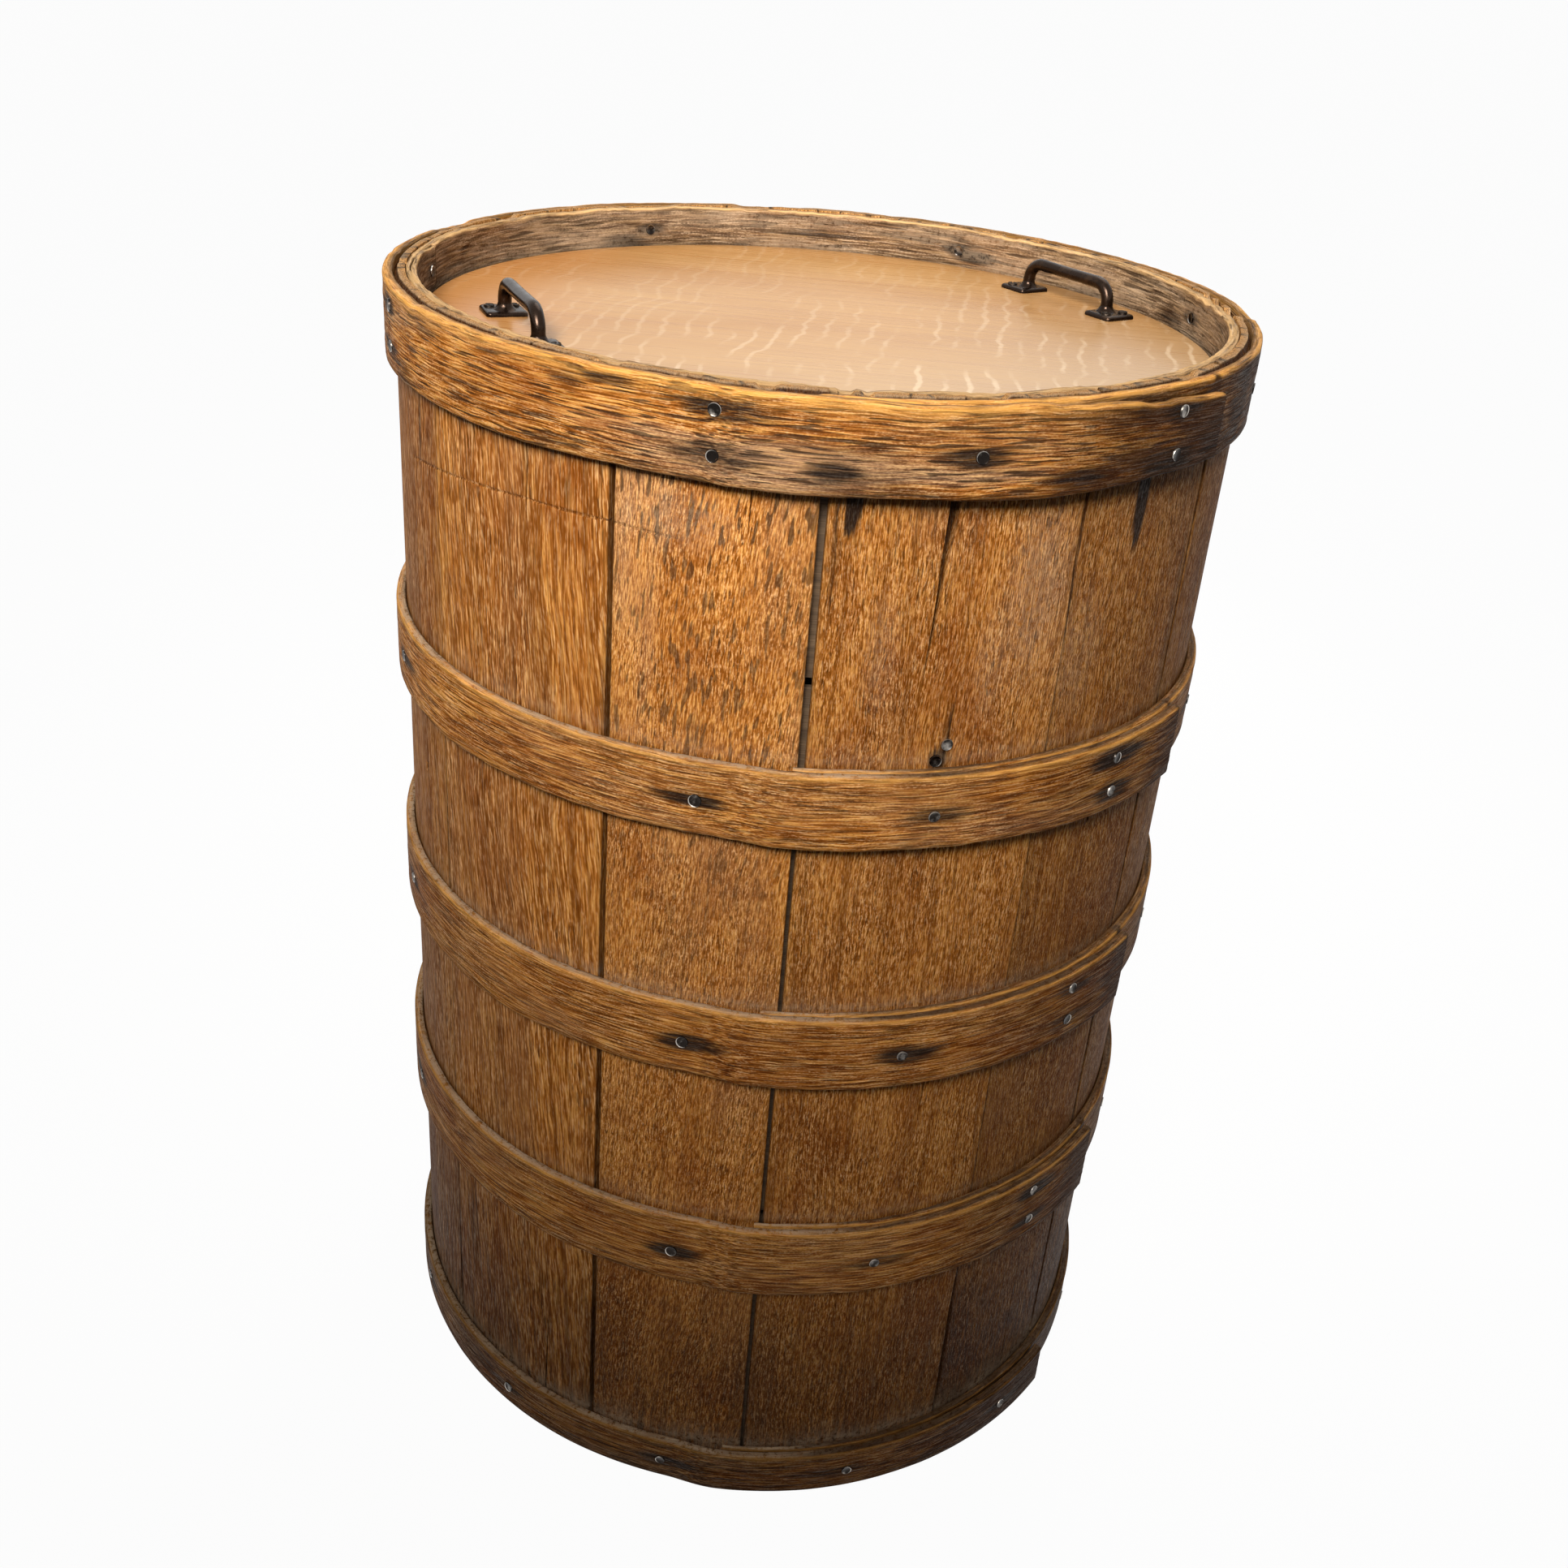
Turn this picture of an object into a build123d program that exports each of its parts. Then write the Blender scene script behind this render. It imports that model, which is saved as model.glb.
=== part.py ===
from build123d import *

import math
import os

# A straight-sided wooden firkin: upright staves on a bent lining, bound by lapped and nailed hoops,
# with a flat lid let down below the rim and two bow pulls to lift it by.
# Millimetres and degrees, +Z up, origin on the axis at the foot. Azimuth 0 is +X, 90 is +Y.

# Drum
drum_height = 850.0
stave_outer_radius = 285.0
stave_thickness = 8.0
stave_widths = (153.0, 121.0, 159.0, 122.0, 147.0, 144.0, 124.0, 144.0, 134.0, 139.0, 144.0, 129.0, 128.0)
first_joint_azimuth = -143.2
joint_gap = 3.0
open_joint_gap = 5.0
open_joint_index = 2
tight_joint_gap = 0.3
tight_joint_indices = (0, 3)
seat_clearance = 0.2

# Outer hoops
hoop_thickness = 7.0
top_hoop_height = 55.0
upper_hoop_height = 52.0
middle_hoop_height = 57.0
lower_hoop_height = 60.0
bottom_hoop_height = 39.0
middle_band = 125.5
lap_sweep = 58.0
lap_step = 9.0
lap_gap = 1.2
feather_thickness = 3.0
top_lap_end_azimuth = -37.0
upper_lap_end_azimuth = -31.0
middle_lap_end_azimuth = -32.5
lower_lap_end_azimuth = -31.0
bottom_lap_end_azimuth = -33.0
tapered_end_sweep = 28.0
tapered_end_upper = 9.0
tapered_end_lower = 6.0

# Cut nails
nail_head_width = 6.5
nail_point_width = 1.2
nail_plate = 5.0
nail_proud = 1.0
nail_point_cover = 1.0
nail_bite = 10.0
single_nail_share = 0.47
paired_nail_shares = (0.3, 0.76)
lap_stave_index = 3
lap_nail_shift = 2.0
twice_nailed_top_stave_indices = (1, 3, 12)
bare_stave_index = 0
stray_nail_places = ((-70.5, 14.0), (-71.7, 3.5))

# Lining and the hoop inside the rim
lining_thickness = 3.2
lining_break = 6.0
lining_seam_gap = 1.5
lining_seam_azimuth = 94.0
upper_lining_height = 172.0
rim_hoop_thickness = 6.8
rim_hoop_reach = 6.0
rim_hoop_gap = 0.8
rim_scarf_azimuth = 196.0
rim_scarf_sweep = 20.0
rim_scarf_gap = 0.4
rim_scarf_nib = 2.4
rim_butt_gap = 1.0
rim_nailed_stave_indices = (0, 2, 5, 7, 9, 11)

# Cleats that carry the lid
cleat_count = 4
cleat_width = 60.0
cleat_depth = 14.0
cleat_height = 25.0
first_cleat_azimuth = 5.0

# Bottom boards
bottom_lift = 12.0
bottom_thickness = 12.0
bottom_board_widths = (128.0, 147.0, 139.0, 132.0)
bottom_board_gap = 0.6

# Lid
lid_recess = 29.5
lid_thickness = 12.0
lid_clearance = 2.2

# Bow pulls
right_pull_azimuth = 36.5
right_pull_inset = 39.0
left_pull_azimuth = -155.5
left_pull_inset = 58.0
pull_span = 94.0
pull_rise = 26.0
pull_bar_radius = 4.2
pull_bar_sides = 8
pull_bend_radius = 12.0
pull_post_inset = 4.0
foot_length = 26.0
foot_width = 28.0
foot_thickness = 3.2
foot_corner = 3.5
foot_flare_radius = 8.5
foot_flare_height = 7.0
screw_spacing = 17.0
screw_offset = 5.0
screw_hole_clearance = 0.2
screw_shank_radius = 1.7
screw_head_radius = 3.4
screw_head_thickness = 1.3
screw_sides = 6
screw_point_cover = 2.0

# Radii worked inwards from the staves
stave_inner_radius = stave_outer_radius - stave_thickness
hoop_inner_radius = stave_outer_radius + seat_clearance
lining_outer_radius = stave_inner_radius - seat_clearance
lining_inner_radius = lining_outer_radius - lining_thickness
inside_radius = lining_inner_radius - seat_clearance
rim_hoop_outer_radius = stave_inner_radius - seat_clearance
rim_hoop_inner_radius = rim_hoop_outer_radius - rim_hoop_thickness
lid_radius = rim_hoop_inner_radius - lid_clearance

# Heights worked from the rim and the foot
all_hoop_heights = (
    top_hoop_height + upper_hoop_height + middle_hoop_height + lower_hoop_height + bottom_hoop_height
)
end_band = (drum_height - all_hoop_heights - 2 * middle_band) / 2
lower_hoop_bottom = bottom_hoop_height + end_band
lower_hoop_top = lower_hoop_bottom + lower_hoop_height
middle_hoop_bottom = lower_hoop_top + middle_band
upper_hoop_bottom = middle_hoop_bottom + middle_hoop_height + middle_band
top_hoop_bottom = drum_height - top_hoop_height
upper_lining_bottom = drum_height - upper_lining_height
lid_top = drum_height - lid_recess
lid_bottom = lid_top - lid_thickness
rim_hoop_bottom = lid_top - rim_hoop_reach

hoops = {
    "top_hoop": (top_hoop_bottom, top_hoop_height, top_lap_end_azimuth),
    "upper_hoop": (upper_hoop_bottom, upper_hoop_height, upper_lap_end_azimuth),
    "middle_hoop": (middle_hoop_bottom, middle_hoop_height, middle_lap_end_azimuth),
    "lower_hoop": (lower_hoop_bottom, lower_hoop_height, lower_lap_end_azimuth),
    "bottom_hoop": (0.0, bottom_hoop_height, bottom_lap_end_azimuth),
}


def polar(radius, azimuth, z=0.0):
    """A point by its distance from the drum's axis, its azimuth and its height."""
    angle = math.radians(azimuth)
    return Vector(radius * math.cos(angle), radius * math.sin(angle), z)


def radial_line(azimuth, first_radius, last_radius):
    """A line along a radius of the drum."""
    return Line(polar(first_radius, azimuth), polar(last_radius, azimuth))


def bent_strip(inner_radius, thickness, start, sweep, bottom, height):
    """A plain strip bent to a circle about the drum's axis, with radial ends."""
    outer_radius = inner_radius + thickness
    end = start + sweep
    outline = CenterArc((0, 0), inner_radius, start, sweep)
    outline += CenterArc((0, 0), outer_radius, start, sweep)
    outline += radial_line(start, inner_radius, outer_radius)
    outline += radial_line(end, inner_radius, outer_radius)
    return Pos(0, 0, bottom) * extrude(make_face(outline), height)


def seamed_ring(outer_radius, thickness, seam, gap, bottom, height):
    """A strip bent to a full turn, its two ends a small gap apart."""
    half_gap = math.degrees(gap / 2 / outer_radius)
    sweep = 360 - 2 * half_gap
    return bent_strip(outer_radius - thickness, thickness, seam + half_gap, sweep, bottom, height)


def joint_azimuths():
    """The azimuth of each stave joint: the staves' widths share out the full turn."""
    turn = sum(stave_widths)
    azimuths = [first_joint_azimuth]
    for width in stave_widths:
        azimuths.append(azimuths[-1] + 360 * width / turn)
    return azimuths


joints = joint_azimuths()
stave_centres = [(start + end) / 2 for start, end in zip(joints, joints[1:])]


def gap_of(joint):
    """The width of a joint between two staves."""
    index = joint % len(stave_widths)
    if index in tight_joint_indices:
        return tight_joint_gap
    return open_joint_gap if index == open_joint_index else joint_gap


def stave(index):
    """One stave, backed and hollowed to the drum's round, between its two joints."""
    start = joints[index] + math.degrees(gap_of(index) / 2 / stave_outer_radius)
    end = joints[index + 1] - math.degrees(gap_of(index + 1) / 2 / stave_outer_radius)
    return bent_strip(stave_inner_radius, stave_thickness, start, end - start, 0.0, drum_height)


def inner_layer_thickness(turn):
    """Thickness of a hoop's inner end under the lap, shaved from full to a feather."""
    share = turn / lap_sweep
    return hoop_thickness + (feather_thickness - hoop_thickness) * share


def lap_lift(turn):
    """How far the outer layer stands off the staves, a turn in degrees back from its end."""
    if turn <= lap_sweep:
        return inner_layer_thickness(turn) + lap_gap
    share = min((turn - lap_sweep) / lap_step, 1.0)
    return (feather_thickness + lap_gap) * (1 + math.cos(math.pi * share)) / 2


def hoop_face_radius(turn):
    """Radius of a hoop's outer face, a turn in degrees back from its outer end."""
    return hoop_inner_radius + lap_lift(turn % 360) + hoop_thickness


def lap_arc(lap_end, first, last, radius_at):
    """An arc between two turns back from a lap's end, through the radius that a rule gives midway."""
    turns = (first, (first + last) / 2, last)
    return ThreePointArc(*[polar(radius_at(turn), lap_end - turn) for turn in turns])


def layer_inner_radius(turn):
    """Radius of a hoop's inner face, a turn in degrees back from its outer end."""
    return hoop_inner_radius + lap_lift(turn)


def feather_radius(turn):
    """Radius of the outer face of a hoop's shaved inner end, a turn back from the lap's end."""
    return hoop_inner_radius + inner_layer_thickness(turn)


def layer_end(lap_end, turn):
    """The square end of a hoop's outer layer."""
    azimuth = lap_end - turn
    return radial_line(azimuth, layer_inner_radius(turn), hoop_face_radius(turn))


def hoop_profile(lap_end, first_turn):
    """Plan of a hoop's strip from a given turn back from the outer end to the feathered inner end."""
    lap_foot = lap_sweep + lap_step
    plain_radius = hoop_inner_radius + hoop_thickness
    feather_end = lap_end - lap_sweep
    outline = layer_end(lap_end, first_turn)
    for radius_at in (layer_inner_radius, hoop_face_radius):
        outline += lap_arc(lap_end, first_turn, lap_sweep, radius_at)
        outline += lap_arc(lap_end, lap_sweep, lap_foot, radius_at)
    outline += CenterArc((0, 0), plain_radius, lap_end - lap_foot, lap_foot - 360)
    outline += CenterArc((0, 0), hoop_inner_radius, lap_end - lap_foot, lap_step - 360)
    outline += lap_arc(lap_end, 0, lap_sweep, feather_radius)
    outline += radial_line(feather_end, hoop_inner_radius, feather_radius(lap_sweep))
    return make_face(outline)


def lapped_hoop(bottom, height, lap_end):
    """A strip bent once round the staves and on over its own feathered end."""
    return Pos(0, 0, bottom) * extrude(hoop_profile(lap_end, 0.0), height)


def tapered_end(bottom, height, lap_end):
    """The last stretch of a hoop's outer layer, shaved narrower from both edges to its end."""
    root = lap_end - tapered_end_sweep
    outline = layer_end(lap_end, 0) + layer_end(lap_end, tapered_end_sweep)
    for radius_at in (layer_inner_radius, hoop_face_radius):
        outline += lap_arc(lap_end, 0, tapered_end_sweep, radius_at)
    blank = Pos(0, 0, bottom) * extrude(make_face(outline), height)
    run = hoop_inner_radius * math.sin(math.radians(tapered_end_sweep))
    along = polar(1, root + 90)
    for edge, slope, keep in (
        (bottom + height, tapered_end_upper / run, Keep.BOTTOM),
        (bottom, -tapered_end_lower / run, Keep.TOP),
    ):
        normal = Vector(along.X * slope, along.Y * slope, 1)
        cut = Plane(polar(hoop_inner_radius, root, edge), polar(1, root), normal)
        blank = split(blank, bisect_by=cut, keep=keep)
    return blank


def tapered_hoop(bottom, height, lap_end):
    """A lapped hoop whose outer end is shaved narrower."""
    strip = Pos(0, 0, bottom) * extrude(hoop_profile(lap_end, tapered_end_sweep), height)
    return strip + tapered_end(bottom, height, lap_end)


def nail(azimuth, z, face_radius, point_radius):
    """A cut nail along a radius: a wedge of plate from its head, just proud of a face, to its point."""
    head_radius = face_radius + math.copysign(nail_proud, face_radius - point_radius)
    head = nail_head_width / 2
    point = nail_point_width / 2
    corners = (head_radius, -head), (head_radius, head), (point_radius, point), (point_radius, -point)
    upright = Plane((0, 0, z), polar(1, azimuth), polar(1, azimuth - 90))
    return extrude(upright * make_face(Polyline(*corners, close=True)), nail_plate / 2, both=True)


def hoop_nails(name):
    """The nails of one hoop: one a stave, two at the lap, and the strays above the upper hoop."""
    bottom, height, lap_end = hoops[name]
    twice = twice_nailed_top_stave_indices if name == "top_hoop" else (lap_stave_index,)
    nails = []
    for index, azimuth in enumerate(stave_centres):
        if index == bare_stave_index:
            continue
        shares = paired_nail_shares if index in twice else (single_nail_share,)
        if index == lap_stave_index:
            azimuth -= lap_nail_shift
        face_radius = hoop_face_radius(lap_end - azimuth)
        for share in shares:
            z = bottom + height * share
            nails.append(nail(azimuth, z, face_radius, stave_inner_radius + nail_point_cover))
    if name == "upper_hoop":
        for azimuth, rise in stray_nail_places:
            z = bottom + height + rise
            nails.append(nail(azimuth, z, stave_outer_radius, stave_inner_radius + nail_point_cover))
    return Compound(nails)


def bottom_nails():
    """The long nails of the bottom hoop, through stave and lining into the edge of the bottom boards."""
    z = bottom_lift + bottom_thickness / 2
    nails = []
    for azimuth in stave_centres:
        face_radius = hoop_face_radius(bottom_lap_end_azimuth - azimuth)
        nails.append(nail(azimuth, z, face_radius, inside_radius - nail_bite))
    return Compound(nails)


def rim_scarf_radius(turn):
    """Radius of the scarf's inside layer, from below its outer shoulder to its blunt tip."""
    shoulder = rim_hoop_outer_radius - rim_scarf_nib - rim_scarf_gap
    tip = rim_hoop_inner_radius + rim_scarf_nib
    return shoulder + (tip - shoulder) * turn / rim_scarf_sweep


def rim_scarf_cover_radius(turn):
    """Radius of the scarf's outside layer, a small gap off the inside one."""
    return rim_scarf_radius(turn) + rim_scarf_gap


def rim_hoop():
    """The hoop inside the rim, its ends scarfed with blunt tips so that it keeps one thickness."""
    butt = math.degrees(rim_butt_gap / rim_hoop_outer_radius)
    shoulder = rim_scarf_azimuth + butt
    tip = rim_scarf_azimuth - rim_scarf_sweep
    cover_shoulder = tip - butt
    last_turn = rim_scarf_sweep + butt
    outline = CenterArc((0, 0), rim_hoop_outer_radius, shoulder, 360 - butt)
    outline += CenterArc((0, 0), rim_hoop_inner_radius, tip, 360 - butt)
    outline += lap_arc(rim_scarf_azimuth, -butt, rim_scarf_sweep, rim_scarf_radius)
    outline += radial_line(shoulder, rim_scarf_radius(-butt), rim_hoop_outer_radius)
    outline += radial_line(tip, rim_hoop_inner_radius, rim_scarf_radius(rim_scarf_sweep))
    outline += lap_arc(rim_scarf_azimuth, 0, last_turn, rim_scarf_cover_radius)
    outline += radial_line(rim_scarf_azimuth, rim_scarf_cover_radius(0), rim_hoop_outer_radius)
    outline += radial_line(cover_shoulder, rim_hoop_inner_radius, rim_scarf_cover_radius(last_turn))
    return Pos(0, 0, rim_hoop_bottom) * extrude(make_face(outline), drum_height - rim_hoop_bottom)


def rim_nails():
    """Nails driven from inside through the rim's inner hoop into some of the staves."""
    z = (rim_hoop_bottom + drum_height) / 2
    point_radius = stave_outer_radius - nail_point_cover
    azimuths = [stave_centres[index] for index in rim_nailed_stave_indices]
    return Compound([nail(azimuth, z, rim_hoop_inner_radius, point_radius) for azimuth in azimuths])


def lid_cleat(index):
    """A block under the lid, straight in front and cut to the round of the lining behind."""
    blank = Pos(inside_radius - cleat_depth / 2, 0) * Rectangle(cleat_depth, cleat_width)
    block = extrude(blank & Circle(inside_radius), cleat_height)
    turn = first_cleat_azimuth + 360 * index / cleat_count
    return Pos(0, 0, lid_bottom - cleat_height) * Rot(0, 0, turn) * block


def bottom_boards():
    """Butted boards along X, cut to the round of the lining."""
    total = sum(bottom_board_widths)
    edge = -inside_radius
    boards = []
    for width in bottom_board_widths:
        share = 2 * inside_radius * width / total
        strip = Pos(0, edge + share / 2) * Rectangle(2 * inside_radius, share - bottom_board_gap)
        plan = Circle(inside_radius) & strip
        boards.append(Pos(0, 0, bottom_lift) * extrude(plan, bottom_thickness))
        edge += share
    return boards


def bar_section(radius):
    """Section of a pull's bar, with a flat side up."""
    return Rot(0, 0, 180 / pull_bar_sides) * RegularPolygon(radius, pull_bar_sides)


def half_flat(radius):
    """Distance from the middle of a bar's section to its flat sides."""
    return radius * math.cos(math.pi / pull_bar_sides)


def screw_places():
    """Screw centres of one pull, in its own plane."""
    x = pull_span / 2 + screw_offset
    return [(side * x, hand * screw_spacing / 2) for side in (-1, 1) for hand in (-1, 1)]


def bow_side(post_x):
    """One half of a pull: bar from the middle, bend, flared post and foot plate with its screw holes."""
    bar_z = pull_rise - pull_bar_radius
    bend_x = post_x - pull_bend_radius
    bend_z = bar_z - pull_bend_radius
    section = bar_section(pull_bar_radius)
    across = Plane(origin=(bend_x, 0, bar_z), x_dir=(0, 1, 0), z_dir=(1, 0, 0)) * section
    half = extrude(across, -bend_x)
    half += revolve(across, Axis((bend_x, 0, bend_z), (0, 1, 0)), 90)
    half += Pos(post_x, 0, foot_thickness) * extrude(section, bend_z - foot_thickness)
    flare_foot = Pos(post_x, 0, foot_thickness) * bar_section(foot_flare_radius)
    flare_taper = math.atan((half_flat(foot_flare_radius) - half_flat(pull_bar_radius)) / foot_flare_height)
    half += extrude(flare_foot, foot_flare_height, taper=math.degrees(flare_taper))
    plate = chamfer(Rectangle(foot_length, foot_width).vertices(), foot_corner)
    half += Pos(pull_span / 2, 0, 0) * extrude(plate, foot_thickness)
    hole = extrude(RegularPolygon(screw_shank_radius + screw_hole_clearance, screw_sides), foot_thickness)
    for x, y in screw_places():
        half -= Pos(x, y, 0) * hole
    return half


def bow_pull():
    """A cast pull along X, its feet standing on z = 0."""
    half = bow_side(pull_span / 2 - pull_post_inset)
    return half + mirror(half, about=Plane.YZ)


def pull_screws():
    """The four screws of one pull, heads on its feet and points short of the lid's underside."""
    head = extrude(RegularPolygon(screw_head_radius, screw_sides), screw_head_thickness)
    length = foot_thickness + lid_thickness - screw_point_cover
    screw = head + extrude(RegularPolygon(screw_shank_radius, screw_sides), -length)
    return Compound([Pos(x, y, foot_thickness) * screw for x, y in screw_places()])


def on_lid(azimuth, inset):
    """The place of a pull: square to the radius, on the lid's face."""
    place = polar(lid_radius - inset, azimuth, lid_top)
    return Pos(*place) * Rot(0, 0, azimuth - 90)


pieces = {}
for index in range(len(stave_widths)):
    pieces[f"stave_{index + 1:02d}"] = stave(index)
for name, (bottom, height, lap_end) in hoops.items():
    shape = tapered_hoop if name == "top_hoop" else lapped_hoop
    pieces[name] = shape(bottom, height, lap_end)
    pieces[f"{name}_nails"] = bottom_nails() if name == "bottom_hoop" else hoop_nails(name)
lining_bands = {
    "lower_lining": (0.0, lower_hoop_top - lining_break / 2),
    "middle_lining": (lower_hoop_top + lining_break / 2, upper_lining_bottom - lining_break / 2),
    "upper_lining": (upper_lining_bottom + lining_break / 2, rim_hoop_bottom - rim_hoop_gap),
}
for name, (bottom, top) in lining_bands.items():
    pieces[name] = seamed_ring(
        lining_outer_radius, lining_thickness, lining_seam_azimuth, lining_seam_gap, bottom, top - bottom
    )
pieces["rim_inner_hoop"] = rim_hoop()
pieces["rim_inner_hoop_nails"] = rim_nails()
for index in range(cleat_count):
    pieces[f"lid_cleat_{index + 1}"] = lid_cleat(index)
for number, board in enumerate(bottom_boards(), start=1):
    pieces[f"bottom_board_{number}"] = board
pieces["lid"] = Pos(0, 0, lid_bottom) * extrude(Circle(lid_radius), lid_thickness)
pull_places = {
    "left": on_lid(left_pull_azimuth, left_pull_inset),
    "right": on_lid(right_pull_azimuth, right_pull_inset),
}
for side, place in pull_places.items():
    pieces[f"{side}_pull"] = place * bow_pull()
    pieces[f"{side}_pull_screws"] = place * pull_screws()

os.makedirs("parts", exist_ok=True)
for name, piece in pieces.items():
    export_step(piece, f"parts/{name}.step")
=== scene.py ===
import math
from types import SimpleNamespace

import bpy
import numpy as np
from mathutils import Matrix, Vector


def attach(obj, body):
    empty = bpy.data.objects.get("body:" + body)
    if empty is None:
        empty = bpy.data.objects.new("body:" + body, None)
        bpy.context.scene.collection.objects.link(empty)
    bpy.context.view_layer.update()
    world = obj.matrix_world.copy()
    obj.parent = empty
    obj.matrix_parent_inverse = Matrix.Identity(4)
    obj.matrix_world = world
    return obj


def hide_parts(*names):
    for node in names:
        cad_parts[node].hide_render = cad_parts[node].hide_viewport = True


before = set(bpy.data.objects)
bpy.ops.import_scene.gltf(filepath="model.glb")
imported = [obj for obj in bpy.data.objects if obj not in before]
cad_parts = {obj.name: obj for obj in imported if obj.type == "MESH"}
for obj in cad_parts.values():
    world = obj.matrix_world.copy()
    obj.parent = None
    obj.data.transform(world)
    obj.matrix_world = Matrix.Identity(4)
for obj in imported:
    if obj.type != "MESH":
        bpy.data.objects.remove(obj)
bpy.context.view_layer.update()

# Lengths are millimetres and angles degrees, azimuth 0 at +X and 90 at +Y. Meshes are made in metres.
MM = 0.001

# Staves, as the frame has them
RIM = 850.0
STAVE_COUNT = 13
STAVE_FACE = 285.0
STAVE_BACK = 277.0

# Mesh of a stave: degrees to a millimetre of its face, width of a column, width of a worn edge, seeds
STAVE_DEGREES = 180.0 / math.pi / STAVE_FACE
COLUMN_WIDTH = 3.6
ARRIS = 1.5
JOINT_SEED = 900
SPLIT_SEED = 903

# Staves in view: scale along the grain, scale across it, slant, tone, strength of the figure
STAVES_IN_VIEW = {
    1: (0.4, 0.7, 0.045, 0.24, 0.0),
    2: (1.0, 0.9, -0.06, 0.4, 0.8),
    3: (1.0, 1.0, -0.01, -0.08, 0.15),
    4: (1.0, 1.0, 0.01, -0.3, 0.15),
    13: (0.4, 0.7, 0.03, 0.0, 0.1),
}
# Painted shade on staves at the drum's right and left sides, where the light falls off: stave number, amount
STAVE_SIDE_SHADE = {4: 0.22, 5: 0.3, 13: 0.08}

# Edges of the staves at the wide joint and at the tight joints left and right: stave number, side
WIDE_EDGES = ((2, 1), (3, -1))
LEFT_TIGHT_EDGES = ((13, 1), (1, -1))
RIGHT_TIGHT_EDGES = ((3, 1), (4, -1))

# Hoops: strips bent over their own inner ends, which are shaved to a feather.
# Their rounds, like the rim hoop's, are the radii of the upper and the lower edge.
HOOP_SEAT = 285.2
HOOP_THICKNESS = 7.0
HOOP_ARC_RADIUS = 292.0
HOOP_STATIONS = 640
HOOP_ROUNDS = (2.6, 1.8)
FEATHER = 3.0
LAP_GAP = 1.2
LAP_SWEEP = 58.0
LAP_STEP = 9.0

# Outer end of the top hoop, shaved narrower from both edges
TAPER_SWEEP = 28.0
TAPER_UPPER = 9.0
TAPER_LOWER = 6.0

# Each hoop: foot, height, azimuth of its outer end, strength of its figure, soiling with painted shade that
# grows towards the bottom, tone
HOOPS = {
    "top_hoop": (795.0, 55.0, -37.0, 1.0, 0.06, -0.2),
    "upper_hoop": (575.0, 52.0, -31.0, 0.55, 0.06, 0.12),
    "middle_hoop": (392.5, 57.0, -32.5, 0.5, 0.16, 0.12),
    "lower_hoop": (207.0, 60.0, -31.0, 0.5, 0.26, 0.12),
    "bottom_hoop": (0.0, 39.0, -33.0, 0.85, 0.58, -0.4),
}

# Inner hoop at the rim, closed by a scarf
RIM_HOOP_FOOT = 814.5
RIM_HOOP_BACK = 276.8
RIM_HOOP_FACE = 270.0
RIM_HOOP_ROUNDS = (1.6, 1.2)
RIM_HOOP_STATIONS = 560
SCARF = 196.0
SCARF_SWEEP = 20.0
SCARF_TIP = 2.4
SCARF_GAP = 0.4
SCARF_BUTT = 1.0
SCARF_STATIONS = 36

# Lid
LID_TOP = 820.5
LID_FOOT = 808.5
LID_RADIUS = 267.8
LID_ROUND = 1.6
LID_CHAMFER = 0.8
LID_SEGMENTS = 240

# Pulls: azimuth and distance from the lid's middle, and the sizes of their bows, posts and feet
PULL_PLACES = {"left": (-155.5, 209.8), "right": (36.5, 228.8)}
PULL_SPAN = 94.0
PULL_RISE = 26.0
BOW_BAR = 4.4
BOW_WIDTH = 4.6
BOW_BEND = 13.0
BOW_RING = 20
POST_X = 43.0
POST_FOOT = 2.4
FOOT_LENGTH = 26.0
FOOT_WIDTH = 28.0
FOOT_CORNER = 3.0

# Layers of a pull's foot: height, inset
FOOT_LAYERS = ((0.0, 0.0), (1.7, 0.0), (2.5, 0.5), (3.0, 1.4), (3.2, 2.6))

# Nails and screws. A head's lip and dish are shares of its radius, and the dish's floor of its height.
NAIL_RADIUS = 3.9
NAIL_HEIGHT = 1.0
NAIL_SINK = 1.4
NAIL_TILT = 0.08
NAIL_SEED = 5
SCREW_SEED = 3
SCREW_RADIUS = 3.4
SCREW_HEIGHT = 1.3
SCREW_SEAT = 3.1
SCREW_X = 52.0
SCREW_Y = 8.5
HEAD_SIDES = 18
HEAD_LIP = 0.93
HEAD_DISH = 0.74
DISH_FLOOR = 0.6
SHANK_SIDES = 8

# Splits in the staves: stave number, foot, azimuth there, head, azimuth there,
# width at the head, width at the foot
SPLITS = (
    (1, 752.0, -124.5, 850.0, -124.2, 2.2, 0.6),
    (1, 0.0, -121.2, 112.0, -120.7, 0.5, 1.8),
    (2, 772.0, -96.2, 800.0, -96.0, 0.6, 0.2),
    (3, 684.0, -74.5, 850.0, -72.6, 9.0, 0.3),
    (3, 560.0, -71.6, 672.0, -70.1, 0.5, 2.0),
    (3, 350.0, -67.2, 420.0, -67.0, 2.6, 0.5),
    (3, 90.0, -71.0, 215.0, -71.0, 0.7, 0.2),
    (4, 560.0, -45.4, 645.0, -45.7, 0.6, 1.8),
    (4, 40.0, -41.0, 165.0, -41.4, 0.2, 0.9),
    (5, 600.0, -22.0, 850.0, -21.0, 1.8, 0.2),
    (7, 0.0, 31.0, 240.0, 31.5, 0.2, 1.6),
    (8, 500.0, 62.5, 850.0, 62.0, 1.7, 0.2),
    (10, 0.0, 117.0, 330.0, 117.4, 0.2, 1.4),
    (11, 690.0, 146.0, 850.0, 146.4, 1.5, 0.2),
    (13, 120.0, -159.5, 330.0, -159.0, 1.1, 0.2),
)

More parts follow.
